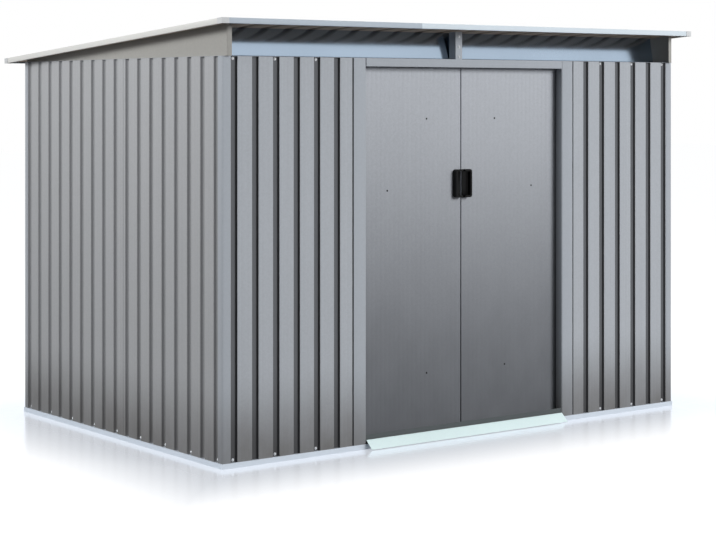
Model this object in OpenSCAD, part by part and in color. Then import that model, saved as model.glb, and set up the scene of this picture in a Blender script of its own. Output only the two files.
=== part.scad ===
// Pent-roofed tool shed of ribbed galvanised sheet with two sliding doors, in millimetres.
// X runs along the front, Y from the front to the back and Z up from the ground.
// The origin lies on the ground under the middle of the roof.

/* [Walls] */
// Width over the corner angles
wall_w = 2660; // [2500:10:2900]
// Depth over the corner angles
wall_d = 1768; // [1600:4:2000]
// Height of the wall tops above the ground
wall_h = 1705; // [1600:5:1850]
// Thickness of the wall, roof and door sheets
sheet_t = 0.6; // [0.4:0.1:1]
// Thickness of the folded frame profiles
frame_t = 1; // [0.8:0.1:1.4]
// Wanted spacing of the grooves in the front panels and the back wall
front_pitch = 106; // [100:1:112]
// Wanted spacing of the grooves in the side walls
side_pitch = 104; // [98:1:110]
// Place of the first groove of a front panel, from the corner
first_groove = 59; // [58:1:64]
// Width of a groove at the face of the sheet
groove_w = 33; // [26:1:34]
// Run of a groove's sloping side
groove_run = 4; // [2:0.5:7]
// Depth of a groove
groove_depth = 12; // [8:0.5:15]
// Width of the narrow swage beside a jamb
swage_w = 8; // [6:0.5:12]
// Depth of the narrow swage
swage_depth = 4; // [2:0.5:6]
// Length of the lap where two wall sheets meet
wall_lap = 36; // [20:1:44]

/* [Corner angles and base] */
// Leg of a corner angle on the front and back
corner_front_leg = 40; // [30:1:41]
// Leg of a corner angle on the sides
corner_side_leg = 35; // [25:1:36]
// Outer radius of a corner angle
corner_r = 6; // [4:0.5:8]
// Height of the base rails' face
base_h = 22; // [16:1:30]
// How far the base rails stand proud of the walls
base_proud = 2; // [1:0.5:4]
// Height of the lip that backs the sheets' feet
base_lip = 40; // [30:1:60]
// Width of the base rails on the ground
base_flange = 50; // [44:1:50]
// Distance of an anchor hole from the wall's end
anchor_inset = 130; // [90:5:300]
// Distance of an anchor hole from the wall's face
anchor_depth = 32; // [28:1:36]
// Radius of an anchor hole
anchor_r = 4.5; // [3.5:0.5:6]

/* [Doorway] */
// Width of the doorway between the jambs
opening_w = 1166; // [1060:2:1230]
// Width of a jamb's face
jamb_w = 68; // [50:1:80]
// Depth of a jamb's return
jamb_depth = 46; // [36:1:46]
// Leg at the back of a jamb
jamb_leg = 25; // [15:1:40]
// Height of the door head's face
head_h = 37; // [36:1:60]
// Depth of the door head's lower fold
head_depth = 40; // [20:1:42]
// Height of the sill above the ground
sill_h = 40; // [36:1:48]
// Depth of the sill behind the front
sill_depth = 48; // [44:0.5:48]
// How far the ramp reaches out from the front
ramp_out = 40; // [30:1:60]
// Height of the ramp's toe
ramp_toe = 3; // [2:0.5:5]

/* [Doors] */
// Depth of the door leaves' face behind the front
door_setback = 52; // [51.5:0.5:53]
// Thickness of a door leaf
door_t = 20; // [18:1:22]
// How far a closed leaf laps behind its jamb
door_lap = 25; // [15:1:40]
// Gap between the closed leaves
door_gap = 5; // [5:0.5:10]
// Gap between a leaf and the sill or the track's lips
door_clear = 6; // [5:0.5:9]
// Fold at the back of a leaf's edges
door_hem = 15; // [10:1:30]
// Width of a handle
handle_w = 40; // [34:1:46]
// Height of a handle
handle_h = 128; // [100:1:150]
// How far a handle stands proud of its leaf
handle_proud = 25; // [18:1:28]
// Wall of a handle's finger pocket
handle_wall = 9; // [6:1:11]
// Corner radius of a handle
handle_r = 11; // [5:1:12]
// Height of the middle of the handles above the ground
handle_z = 1141; // [900:1:1300]
// Gap between a handle and its leaf's edge
handle_edge = 4.5; // [3:0.5:10]

/* [Door tracks] */
// Width of the lower track
lower_track_w = 30; // [28:1:36]
// Height of the lower track's walls
lower_track_h = 34; // [24:1:38]
// Clear width inside the upper track
upper_track_w = 38; // [38:1:42]
// Clear height inside the upper track
upper_track_h = 30; // [30:1:34]
// Width of a lip of the upper track
track_lip = 10; // [9:0.5:10]
// Running gap at the tracks' sides
track_clear = 5; // [5:0.5:6]
// Gap under a hanger where it rides on the lips
hanger_seat = 0.3; // [0.2:0.1:0.5]
// Length of a hanger along the track
hanger_l = 60; // [40:1:80]
// Distance of a hanger from its leaf's edge
hanger_inset = 90; // [60:1:160]
// Thickness of a hanger's stem and of a guide shoe
stem_t = 6; // [5:0.5:7]
// Height of a guide shoe's foot above the ground
shoe_clear = 8; // [6:1:12]

/* [Top and mid rails] */
// Width of the side and back top rails
top_rail_w = 30; // [24:1:40]
// Height of the top rails' inner leg
top_leg = 40; // [30:1:42]
// Depth of the front top rail
front_shelf = 116; // [112:1:140]
// Height of the mid rails' middle above the ground
mid_z = 870; // [700:10:1000]
// Height of a mid rail
mid_h = 45; // [30:1:60]
// Depth of a mid rail
mid_depth = 20; // [15:1:24]
// Distance of the side and back rails' legs from the corners
rail_inset = 40; // [40:1:60]

/* [Roof] */
// How far the roof reaches past the side walls
side_overhang = 55; // [45:1:80]
// How far the roof reaches past the front
front_overhang = 83; // [60:1:110]
// How far the roof reaches past the back
back_overhang = 111; // [80:1:140]
// Height of the front trim's underside above the wall tops
roof_front_rise = 131; // [115:1:160]
// Drop of the back trim's underside below the wall tops
roof_back_drop = 6; // [0:1:9]
// Wanted spacing of the roof ribs
rib_pitch = 120; // [110:1:130]
// Width of a roof rib at its foot
rib_foot = 42; // [36:1:48]
// Width of a roof rib at its top
rib_top = 22; // [16:1:28]
// Height of a roof rib
rib_h = 14; // [10:0.5:15]
// Lip of a roof sheet that hooks over its neighbour's rib
rib_hook = 6; // [3:0.5:9]
// Height of the edge trims
trim_h = 24; // [23:0.5:30]
// Width of the trims' upper flange
trim_flange = 30; // [20:1:34]
// Width of the trims' lower lip
trim_lip = 12; // [8:1:20]
// Place of the joint in the front trim, from the left end of the wall
trim_joint = 995; // [800:5:1300]
// Length of a corner cap along each edge
cap_l = 36; // [34:1:50]
// How far a corner cap stands proud of the trims
cap_proud = 1.5; // [1:0.5:3]
// Radius of a corner cap's upright edge
cap_r = 5; // [3:0.5:8]
// Gap between the roof sheets and the trims' webs
sheet_gap = 1.5; // [1:0.5:3]

/* [Under the roof] */
// How far a gable plate reaches past the front
gable_front = 15; // [5:1:30]
// Width of a gable plate's front flange
gable_flange = 23; // [16:1:44]
// How far a gable plate stands inside the side's face
gable_inset = 14; // [0:1:20]
// Width of the centre post
post_w = 41; // [30:1:50]
// Depth of the centre post
post_depth = 45; // [30:1:46]
// Depth of the centre post's face behind the front
post_setback = 65; // [40:1:66]
// Depth of the front roof beam's foot behind the front
beam_setback = 113; // [113:1:140]
// Lean of the front roof beam's face to the back
beam_lean = 9.5; // [6:0.5:12]
// Gap between the front roof beam's foot and the wall tops
beam_clear = 2.5; // [1:0.5:10]
// Width of the front roof beam's flanges
beam_flange = 40; // [30:1:50]
// Height of the purlin
purlin_h = 60; // [40:1:60]

/* [Hidden] */

steel = [0.66, 0.68, 0.71];
bright_steel = [0.82, 0.85, 0.88];
dull_steel = [0.60, 0.59, 0.57];
cap_grey = [0.78, 0.80, 0.82];
black_plastic = [0.05, 0.05, 0.055];
nylon = [0.16, 0.16, 0.165];

// Plan of the walls in the shed's frame
roof_d = wall_d + front_overhang + back_overhang;
roof_w = wall_w + 2 * side_overhang;
y_front = front_overhang - roof_d / 2;
y_back = y_front + wall_d;
panel_w = (wall_w - opening_w) / 2 - jamb_w;
jamb_x = panel_w + jamb_w;

// Depths from a wall's outer face
sheet_face = frame_t;
groove_back = sheet_face + groove_depth + sheet_t;
corner_clear = corner_r + frame_t;

// Heights
top_plate_z = wall_h - frame_t;
track_lip_z = top_plate_z - frame_t - upper_track_h;
door_z0 = sill_h + door_clear;
door_z1 = track_lip_z - frame_t - door_clear;

// Roof plane: a frame that lies along the slope, with its zero at the trims' underside
fall = roof_front_rise + roof_back_drop;
pitch_deg = atan2(fall, roof_d);
roof_l = (roof_d - trim_h * sin(pitch_deg)) / cos(pitch_deg);
roof_shift = -trim_h * sin(pitch_deg) / 2;
roof_mid_z = wall_h + (roof_front_rise - roof_back_drop) / 2;
trim_x = roof_w / 2 - cap_proud;
trim_y = roof_l / 2 - cap_proud;
pan_z = trim_h - frame_t - 2 * sheet_t - rib_h;
rib_span = 2 * (trim_x - frame_t - sheet_gap);
rib_count = 2 * round((rib_span / rib_pitch - 1) / 2) + 1;
rib_step = rib_span / rib_count;
first_lap = round(rib_count / 3);
last_lap = rib_count - first_lap;

// Height of the underside of the roof pans at a place along Y
function pan_height(y) =
    roof_mid_z + pan_z / cos(pitch_deg) - (y - roof_shift) * tan(pitch_deg);

// Depth and height in the roof's frame of a place along Y at a height
function in_roof(y, z) =
    let (dy = y - roof_shift, dz = z - roof_mid_z)
    [dy * cos(pitch_deg) - dz * sin(pitch_deg), dy * sin(pitch_deg) + dz * cos(pitch_deg)];

// Folded strips: a path is thickened to the left of its direction of travel
function unit(v) = v / norm(v);
function left_of(v) = [-v[1], v[0]];
function side_normal(path, i) = left_of(unit(path[i + 1] - path[i]));
function fold_offset(path, i) =
    let (last = len(path) - 1)
    i == 0 ? side_normal(path, 0)
    : i == last ? side_normal(path, last - 1)
    : let (a = side_normal(path, i - 1), b = side_normal(path, i)) (a + b) / (1 + a * b);
function strip(path, t) = concat(
    path,
    [for (i = [len(path) - 1 : -1 : 0]) path[i] + t * fold_offset(path, i)]
);

module folded(path, t) {
    polygon(strip(path, t));
}

// Sweeps a section drawn as depth and height along X
module run(from, to) {
    translate([from, 0, 0])
        rotate([90, 0, 90])
            linear_extrude(to - from)
                children();
}

// Lifts a section drawn in plan to the given heights
module rise(z0, z1) {
    translate([0, 0, z0])
        linear_extrude(z1 - z0)
            children();
}

// Frames of the four walls: X runs along the outer face, Y into the shed
module on_front() { translate([-wall_w / 2, y_front, 0]) children(); }
module on_right() { translate([wall_w / 2, y_front, 0]) rotate([0, 0, 90]) children(); }
module on_back() { translate([wall_w / 2, y_back, 0]) rotate([0, 0, 180]) children(); }
module on_left() { translate([-wall_w / 2, y_back, 0]) rotate([0, 0, -90]) children(); }

// Frame of the sloping roof
module on_roof() {
    translate([0, roof_shift, roof_mid_z]) rotate([-pitch_deg, 0, 0]) children();
}

module mirrored_x() { mirror([1, 0, 0]) children(); }

// Ribbed wall sheets

// Outer face of a sheet with grooves at the given places; an end may drop under its neighbour
function sheet_path(start, end, grooves, drop_start, drop_end) =
    let (last = len(grooves) - 1, half = groove_w / 2, floor_half = groove_w / 2 - groove_run)
    concat(
        [[start, sheet_face + drop_start]],
        [for (i = [0 : last]) each [
            [grooves[i] - half, sheet_face + (i == 0 ? drop_start : 0)],
            [grooves[i] - floor_half, sheet_face + groove_depth],
            [grooves[i] + floor_half, sheet_face + groove_depth],
            [grooves[i] + half, sheet_face + (i == last ? drop_end : 0)]
        ]],
        [[end, sheet_face + drop_end]]
    );

// A wall of several sheets, each lapped over the next
module lapped_wall(length, wanted_pitch, sheets) {
    count = round(length / wanted_pitch);
    pitch = length / count;
    lap_drop = sheet_t + 0.1;
    for (k = [0 : sheets - 1]) {
        first = round(k * count / sheets);
        last = round((k + 1) * count / sheets) - 1;
        start = k == 0 ? corner_clear : first * pitch - wall_lap / 2;
        end = k == sheets - 1 ? length - corner_clear : (last + 1) * pitch + wall_lap / 2;
        rise(base_h, top_plate_z)
            folded(
                sheet_path(
                    start, end, [for (i = [first : last]) (i + 0.5) * pitch],
                    k == 0 ? 0 : lap_drop, 0
                ),
                sheet_t
            );
    }
}

module front_panel() {
    count = floor((panel_w - swage_w - first_groove - groove_w / 2) / front_pitch) + 1;
    grooves = [for (i = [0 : count - 1]) first_groove + i * front_pitch];
    edge = panel_w - swage_w;
    path = concat(
        sheet_path(corner_clear, edge, grooves, 0, 0),
        [
            [edge + swage_w / 4, sheet_face + swage_depth],
            [edge + swage_w * 3 / 4, sheet_face + swage_depth],
            [panel_w, sheet_face],
            [panel_w + jamb_w / 3, sheet_face]
        ]
    );
    rise(base_h, top_plate_z) folded(path, sheet_t);
}

module front_left_panel() { color(steel) on_front() front_panel(); }
module front_right_panel() { color(steel) mirrored_x() on_front() front_panel(); }
module left_wall() { color(steel) on_left() lapped_wall(wall_d, side_pitch, 2); }
module right_wall() { color(steel) on_right() lapped_wall(wall_d, side_pitch, 2); }
module back_wall() { color(steel) on_back() lapped_wall(wall_w, front_pitch, 3); }

// Corner angles with a rounded outer edge

module corner_angle() {
    bend_steps = 6;
    path = concat(
        [[0, corner_side_leg]],
        [for (i = [0 : bend_steps])
            let (a = 180 + 90 * i / bend_steps) [corner_r * (1 + cos(a)), corner_r * (1 + sin(a))]],
        [[corner_front_leg, 0]]
    );
    rise(base_h, top_plate_z) folded(path, frame_t);
}

module corner_at_front() { on_front() corner_angle(); }
module corner_at_back() { translate([-wall_w / 2, y_back, 0]) mirror([0, 1, 0]) corner_angle(); }
module front_left_corner() { color(bright_steel) corner_at_front(); }
module front_right_corner() { color(bright_steel) mirrored_x() corner_at_front(); }
module back_left_corner() { color(bright_steel) corner_at_back(); }
module back_right_corner() { color(bright_steel) mirrored_x() corner_at_back(); }

// Base rails, mitred at the corners, with a lip behind the sheets' feet

module base_rail(length) {
    path = [
        [groove_back, base_h + base_lip], [groove_back, base_h], [-base_proud, base_h],
        [-base_proud, 0], [base_flange, 0]
    ];
    intersection() {
        run(-base_proud, length + base_proud) folded(path, frame_t);
        rise(0, base_h + base_lip)
            polygon([
                [-base_proud, -base_proud], [length + base_proud, -base_proud],
                [length - base_flange, base_flange], [base_flange, base_flange]
            ]);
    }
}

module anchor_holes() {
    for (x = [anchor_inset, wall_w - anchor_inset])
        translate([x, anchor_depth, -frame_t]) cylinder(r = anchor_r, h = 3 * frame_t, $fn = 32);
}

module base_front() {
    color(bright_steel)
        on_front()
            difference() {
                base_rail(wall_w);
                anchor_holes();
                translate([panel_w, 0, base_h])
                    cube([wall_w - 2 * panel_w, base_flange, base_lip + frame_t]);
            }
}

module base_back() {
    color(bright_steel)
        on_back()
            difference() {
                base_rail(wall_w);
                anchor_holes();
            }
}

module base_left() { color(bright_steel) on_left() base_rail(wall_d); }
module base_right() { color(bright_steel) on_right() base_rail(wall_d); }

// Doorway

// Ramp, tread and back leg in one fold, with a middle leg on the base rail
module door_sill() {
    path = [[sill_depth, frame_t], [sill_depth, sill_h], [0, sill_h], [-ramp_out, ramp_toe]];
    leg_depth = groove_back / 2;
    color(bright_steel)
        on_front()
            union() {
                run(jamb_x, wall_w - jamb_x) folded(path, frame_t);
                translate([jamb_x, leg_depth, base_h])
                    cube([opening_w, frame_t, sill_h - frame_t - base_h]);
            }
}

module jamb() {
    path = [[panel_w, 0], [jamb_x, 0], [jamb_x, jamb_depth], [jamb_x - jamb_leg, jamb_depth]];
    rise(base_h, top_plate_z) folded(path, frame_t);
}

module left_jamb() { color(steel) on_front() jamb(); }
module right_jamb() { color(steel) mirrored_x() on_front() jamb(); }

module door_head() {
    path = [[0, top_plate_z], [0, wall_h - head_h], [head_depth, wall_h - head_h]];
    color(steel) on_front() run(jamb_x, wall_w - jamb_x) folded(path, frame_t);
}

// Door tracks

module lower_track() {
    far = base_flange + lower_track_w;
    path = [[base_flange, lower_track_h], [base_flange, 0], [far, 0], [far, lower_track_h]];
    color(bright_steel) on_front() run(base_flange, wall_w - base_flange) folded(path, frame_t);
}

track_near = jamb_depth + 2 * frame_t;
track_far = track_near + upper_track_w;

module upper_track() {
    path = [
        [track_near + track_lip, track_lip_z], [track_near, track_lip_z],
        [track_near, track_lip_z + upper_track_h], [track_far, track_lip_z + upper_track_h],
        [track_far, track_lip_z], [track_far - track_lip, track_lip_z]
    ];
    color(bright_steel) on_front() run(base_flange, wall_w - base_flange) folded(path, frame_t);
}

// Top rails and mid rails

module front_top_rail() {
    color(steel)
        on_front()
            union() {
                translate([top_rail_w, 0, top_plate_z])
                    cube([wall_w - 2 * top_rail_w, front_shelf, frame_t]);
                for (x = [top_rail_w, wall_w - panel_w])
                    translate([x, groove_back, wall_h - top_leg])
                        cube([panel_w - top_rail_w, frame_t, top_leg - frame_t]);
            }
}

module top_rail_leg(length) {
    translate([rail_inset, groove_back, wall_h - top_leg])
        cube([length - 2 * rail_inset, frame_t, top_leg - frame_t]);
}

module side_top_rail() {
    translate([0, 0, top_plate_z]) cube([wall_d, top_rail_w, frame_t]);
    top_rail_leg(wall_d);
}

module left_top_rail() { color(steel) on_left() side_top_rail(); }
module right_top_rail() { color(steel) on_right() side_top_rail(); }

module back_top_rail() {
    upstand = [
        [0, wall_h - frame_t], [frame_t, wall_h - frame_t],
        [frame_t, pan_height(y_back - frame_t)], [0, pan_height(y_back)]
    ];
    color(steel)
        on_back()
            union() {
                translate([top_rail_w, 0, top_plate_z])
                    cube([wall_w - 2 * top_rail_w, top_rail_w, frame_t]);
                run(top_rail_w, wall_w - top_rail_w) polygon(upstand);
                top_rail_leg(wall_w);
            }
}

module mid_rail(length) {
    far = groove_back + mid_depth;
    top = mid_z + mid_h / 2;
    foot = mid_z - mid_h / 2;
    run(rail_inset, length - rail_inset)
        folded([[far, top], [groove_back, top], [groove_back, foot], [far, foot]], frame_t);
}

module mid_rails() {
    color(bright_steel) {
        on_left() mid_rail(wall_d);
        on_right() mid_rail(wall_d);
        on_back() mid_rail(wall_w);
    }
}

// Pieces between the walls and the roof

gable_face = wall_w / 2 - gable_inset;

// Plate on a side wall's top, with a flange round its front edge
module gable_plate() {
    near = y_front - gable_front;
    face = gable_face;
    web = [[near, wall_h], [y_back, wall_h], [y_back, pan_height(y_back)], [near, pan_height(near)]];
    flange = [
        [near, wall_h], [near + frame_t, wall_h],
        [near + frame_t, pan_height(near + frame_t)], [near, pan_height(near)]
    ];
    union() {
        run(-face, frame_t - face) polygon(web);
        run(-face, gable_flange - face) polygon(flange);
    }
}

module left_gable_plate() { color(dull_steel) gable_plate(); }
module right_gable_plate() { color(dull_steel) mirrored_x() gable_plate(); }

// Open-backed post with a sloping head
module centre_post() {
    near = y_front + post_setback;
    far = near + post_depth;
    color(bright_steel)
        difference() {
            run(-post_w / 2, post_w / 2)
                polygon([
                    [near, wall_h], [far, wall_h], [far, pan_height(far)], [near, pan_height(near)]
                ]);
            translate([frame_t - post_w / 2, near + frame_t, wall_h - frame_t])
                cube([post_w - 2 * frame_t, post_depth, roof_front_rise * 2]);
        }
}

// Channels between the gable plates, with their open side to the back
beam_half = gable_face - frame_t;
beam_y = y_front + beam_setback;
beam_foot = wall_h + beam_clear;
beam_rise = (pan_height(beam_y) - beam_foot) / (1 + tan(beam_lean) * tan(pitch_deg));

// Beam behind the post, with a face that leans back from the wall tops to the roof pans
module front_roof_beam() {
    head = in_roof(beam_y + beam_rise * tan(beam_lean), beam_foot + beam_rise);
    path = [
        [head[0] + beam_flange, pan_z], [head[0], pan_z],
        in_roof(beam_y, beam_foot), in_roof(beam_y + beam_flange, beam_foot)
    ];
    color(bright_steel) on_roof() run(-beam_half, beam_half) folded(path, frame_t);
}

// Purlin square to the roof
module roof_purlin() {
    y = (y_front + y_back) / 2;
    far = y + beam_flange;
    path = [[far, pan_z], [y, pan_z], [y, pan_z - purlin_h], [far, pan_z - purlin_h]];
    color(bright_steel) on_roof() run(-beam_half, beam_half) folded(path, frame_t);
}

// Roof sheets: broad pans between upright ribs, with the middle sheet lapped over both others

rib_slope = atan2(rib_h, (rib_foot - rib_top) / 2);
rib_nest = sheet_t * tan(rib_slope / 2);
function rib_x(i) = -rib_span / 2 + i * rib_step;
function rib_rise(i) = [[rib_x(i) - rib_foot / 2, pan_z], [rib_x(i) - rib_top / 2, pan_z + rib_h]];
function rib_fall(i) = [[rib_x(i) + rib_top / 2, pan_z + rib_h], [rib_x(i) + rib_foot / 2, pan_z]];
function full_ribs(from, to) = [for (i = [from : to]) each concat(rib_rise(i), rib_fall(i))];

// The lap over a neighbour's rib, one sheet higher, with a hook down its far side
hook_run = rib_hook / tan(rib_slope);
function lap_rise(i) = [
    [rib_x(i) - rib_top / 2 - rib_nest - hook_run, pan_z + rib_h + sheet_t - rib_hook],
    [rib_x(i) - rib_top / 2 - rib_nest, pan_z + rib_h + sheet_t],
    [rib_x(i) + rib_top / 2 + rib_nest, pan_z + rib_h + sheet_t],
    [rib_x(i) + rib_foot / 2 + rib_nest, pan_z]
];
function lap_fall(i) = [
    [rib_x(i) - rib_foot / 2 - rib_nest, pan_z],
    [rib_x(i) - rib_top / 2 - rib_nest, pan_z + rib_h + sheet_t],
    [rib_x(i) + rib_top / 2 + rib_nest, pan_z + rib_h + sheet_t],
    [rib_x(i) + rib_top / 2 + rib_nest + hook_run, pan_z + rib_h + sheet_t - rib_hook]
];

module roof_sheet(path) {
    length = 2 * (trim_y - frame_t - sheet_gap);
    on_roof()
        translate([0, length / 2, 0])
            rotate([90, 0, 0])
                linear_extrude(length)
                    folded(path, sheet_t);
}

module outer_roof_sheet() {
    roof_sheet(concat(
        [[rib_x(0), pan_z + rib_h]], rib_fall(0), full_ribs(1, first_lap - 1), rib_rise(first_lap),
        [[rib_x(first_lap) + rib_top / 2, pan_z + rib_h]]
    ));
}

module roof_sheet_left() { color(steel) outer_roof_sheet(); }
module roof_sheet_right() { color(steel) mirrored_x() outer_roof_sheet(); }

module roof_sheet_middle() {
    color(steel)
        roof_sheet(concat(lap_rise(first_lap), full_ribs(first_lap + 1, last_lap - 1), lap_fall(last_lap)));
}

// Edge trims around the roof and the caps on its corners

// Section of a trim: its web at zero, its flange and lip towards positive depth
function trim_path() = [
    [trim_flange, trim_h], [0, trim_h], [0, 0], [trim_lip, 0]
];

module cross_trim(from, to) {
    translate([0, -trim_y, 0]) run(from, to) folded(trim_path(), frame_t);
}

trim_end_x = roof_w / 2 - cap_l;
trim_end_y = roof_l / 2 - cap_l;
joint_x = trim_joint - wall_w / 2;

module front_trim_left() { color(bright_steel) on_roof() cross_trim(-trim_end_x, joint_x); }
module front_trim_right() { color(bright_steel) on_roof() cross_trim(joint_x, trim_end_x); }

module back_trim() {
    color(bright_steel) on_roof() mirror([0, 1, 0]) cross_trim(-trim_end_x, trim_end_x);
}

module side_trim() {
    on_roof()
        translate([-trim_x, 0, 0])
            rotate([0, 0, -90])
                run(-trim_end_y, trim_end_y) folded(trim_path(), frame_t);
}

module left_trim() { color(bright_steel) side_trim(); }
module right_trim() { color(bright_steel) mirrored_x() side_trim(); }

// Plan of a corner cap with one round corner at its outer edge
module cap_plan(inset) {
    translate([inset, inset])
        union() {
            translate([cap_r, 0]) square([cap_l - inset - cap_r, cap_l - inset]);
            translate([0, cap_r]) square([cap_l - inset, cap_l - inset - cap_r]);
            translate([cap_r, cap_r]) circle(r = cap_r, $fn = 32);
        }
}

module corner_cap() {
    wall = cap_proud + frame_t;
    difference() {
        rise(0, trim_h) cap_plan(0);
        translate([wall, wall, frame_t]) cube([cap_l, cap_l, trim_h - 2 * frame_t]);
        translate([cap_proud + trim_lip, cap_proud + trim_lip, -frame_t])
            cube([cap_l, cap_l, 3 * frame_t]);
    }
}

module roof_corner_caps() {
    color(cap_grey)
        on_roof()
            for (mx = [0, 1], my = [0, 1])
                mirror([mx, 0, 0])
                    mirror([0, my, 0])
                        translate([-roof_w / 2, -roof_l / 2, 0])
                            corner_cap();
}

// Sliding doors

leaf_w = opening_w / 2 + door_lap - door_gap / 2;
leaf_x = wall_w / 2 - door_gap / 2 - leaf_w;
stem_depth = (track_near + track_far - stem_t) / 2;
hanger_places = [hanger_inset, leaf_w - hanger_inset - hanger_l];

// Tray of folded sheet, open at the back inside its hem
module door_leaf() {
    h = door_z1 - door_z0;
    translate([leaf_x, door_setback, door_z0])
        difference() {
            cube([leaf_w, door_t, h]);
            translate([sheet_t, sheet_t, sheet_t])
                cube([leaf_w - 2 * sheet_t, door_t - 2 * sheet_t, h - 2 * sheet_t]);
            translate([door_hem, door_t / 2, door_hem])
                cube([leaf_w - 2 * door_hem, door_t, h - 2 * door_hem]);
        }
}

// Outline of a handle seen from the front, round on its outer side
module handle_outline() {
    translate([0, handle_r]) square([handle_w, handle_h - 2 * handle_r]);
    translate([handle_r, 0]) square([handle_w - handle_r, handle_h]);
    for (z = [handle_r, handle_h - handle_r])
        translate([handle_r, z]) circle(r = handle_r, $fn = 32);
}

// Cup that the fingers enter from the edge of the leaf
module door_handle() {
    plate = handle_wall / 3;
    translate([leaf_x + leaf_w - handle_edge - handle_w, door_setback, handle_z - handle_h / 2])
        difference() {
            rotate([90, 0, 0]) linear_extrude(handle_proud) handle_outline();
            translate([handle_wall, -handle_proud - 1, handle_wall])
                cube([handle_w, handle_proud + 1 - plate, handle_h - 2 * handle_wall]);
        }
}

// Hangers that ride in the upper track and shoes that run in the lower one
module door_sliders() {
    body_depth = upper_track_w - 2 * track_clear;
    body_z = track_lip_z + hanger_seat;
    body_h = upper_track_h - hanger_seat - track_clear;
    for (x = hanger_places)
        translate([leaf_x + x, 0, 0]) {
            union() {
                translate([0, track_near + track_clear, body_z]) cube([hanger_l, body_depth, body_h]);
                translate([hanger_l / 4, stem_depth, door_z1])
                    cube([hanger_l / 2, stem_t, body_z - door_z1 + body_h / 2]);
            }
            translate([0, base_flange + (lower_track_w - stem_t) / 2, shoe_clear])
                cube([hanger_l, stem_t, door_z0 - shoe_clear]);
        }
}

module left_door_leaf() { color(steel) on_front() door_leaf(); }
module left_door_handle() { color(black_plastic) on_front() door_handle(); }
module left_door_sliders() { color(nylon) on_front() door_sliders(); }
module right_door_leaf() { color(steel) mirrored_x() on_front() door_leaf(); }
module right_door_handle() { color(black_plastic) mirrored_x() on_front() door_handle(); }
module right_door_sliders() { color(nylon) mirrored_x() on_front() door_sliders(); }

base_front();
base_back();
base_left();
base_right();
door_sill();
lower_track();
front_left_corner();
front_right_corner();
back_left_corner();
back_right_corner();
front_left_panel();
front_right_panel();
left_wall();
right_wall();
back_wall();
left_jamb();
right_jamb();
door_head();
front_top_rail();
upper_track();
left_top_rail();
right_top_rail();
back_top_rail();
mid_rails();
left_gable_plate();
right_gable_plate();
centre_post();
front_roof_beam();
roof_purlin();
roof_sheet_left();
roof_sheet_middle();
roof_sheet_right();
front_trim_left();
front_trim_right();
back_trim();
left_trim();
right_trim();
roof_corner_caps();
left_door_leaf();
left_door_handle();
left_door_sliders();
right_door_leaf();
right_door_handle();
right_door_sliders();
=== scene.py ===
"""Looks of a pent-roofed tool shed of ribbed galvanised sheet with two sliding doors.

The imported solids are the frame. The sheets of the walls and the roof, the folded steel of the
corners, the doorway and the roof's edge, the door leaves and the handles are modelled again
here as rolled, folded and moulded pieces. Screws are added, and every surface gets its finish.
Lengths are in metres: X runs along the front, Y to the back, Z up.
"""

import logging
import math
from dataclasses import dataclass
from enum import Enum
from typing import Callable, Sequence

import bmesh
import bpy
from mathutils import Matrix, Vector


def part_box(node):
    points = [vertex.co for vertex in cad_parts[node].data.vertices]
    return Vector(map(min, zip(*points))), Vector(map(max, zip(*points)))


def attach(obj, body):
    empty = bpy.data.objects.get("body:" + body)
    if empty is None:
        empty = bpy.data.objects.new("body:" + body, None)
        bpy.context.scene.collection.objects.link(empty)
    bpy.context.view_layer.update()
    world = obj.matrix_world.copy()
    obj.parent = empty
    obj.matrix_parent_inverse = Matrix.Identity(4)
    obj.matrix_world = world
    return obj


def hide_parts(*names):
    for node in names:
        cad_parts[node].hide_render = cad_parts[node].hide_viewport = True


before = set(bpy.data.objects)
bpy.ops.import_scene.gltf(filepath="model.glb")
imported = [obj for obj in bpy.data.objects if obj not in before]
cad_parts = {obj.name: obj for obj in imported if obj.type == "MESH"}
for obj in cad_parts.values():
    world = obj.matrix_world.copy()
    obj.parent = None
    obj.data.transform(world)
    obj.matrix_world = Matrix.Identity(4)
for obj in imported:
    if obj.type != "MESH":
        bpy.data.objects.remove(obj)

log = logging.getLogger("tool_shed")

Point = tuple[float, float]
Place = tuple[float, float, float]
Colour = tuple[float, float, float]

# Vertices closer than the first are merged, and those closer than the second are at one place
MERGE_GAP = 0.0001
SAME_PLACE = 0.0002

# Vertex attribute that holds each point's painted shade in grooves, recesses and rib hollows
PAINTED_SHADE_MARK = "recess"


class Side(Enum):
    """The four walls, named as seen from in front."""

    FRONT = "front"
    RIGHT = "right"
    BACK = "back"
    LEFT = "left"

    @property
    def runs_along_x(self) -> bool:
        """Whether the wall runs along X."""
        return self in (Side.FRONT, Side.BACK)


class Hand(Enum):
    """The two halves of the front, named as seen from in front."""

    LEFT = "left"
    RIGHT = "right"


# Modelling moves


def select_only(obj: bpy.types.Object) -> None:
    """Makes one object the only selected one, and the active one.

    Args:
        obj: The object.
    """
    bpy.ops.object.select_all(action="DESELECT")
    obj.select_set(True)
    bpy.context.view_layer.objects.active = obj


def apply_modifier(obj: bpy.types.Object, kind: str, **settings: object) -> None:
    """Adds a modifier and applies it at once.

    Args:
        obj: The object to change.
        kind: Blender's name of the modifier.
        settings: Values of the modifier.
    """
    select_only(obj)
    modifier = obj.modifiers.new(kind.title(), kind)
    for key, value in settings.items():
        setattr(modifier, key, value)
    bpy.ops.object.modifier_apply(modifier=modifier.name)


def pick_vertices(obj: bpy.types.Object, test: Callable[[Vector], bool]) -> None:
    """Selects the vertices whose place passes a test, in edit mode.

    Args:
        obj: The object in edit mode.
        test: Says of a vertex's place whether it is wanted.
    """
    mesh = bmesh.from_edit_mesh(obj.data)
    for vertex in mesh.verts:
        vertex.select_set(test(vertex.co))
    mesh.select_flush_mode()
    bmesh.update_edit_mesh(obj.data)


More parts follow.
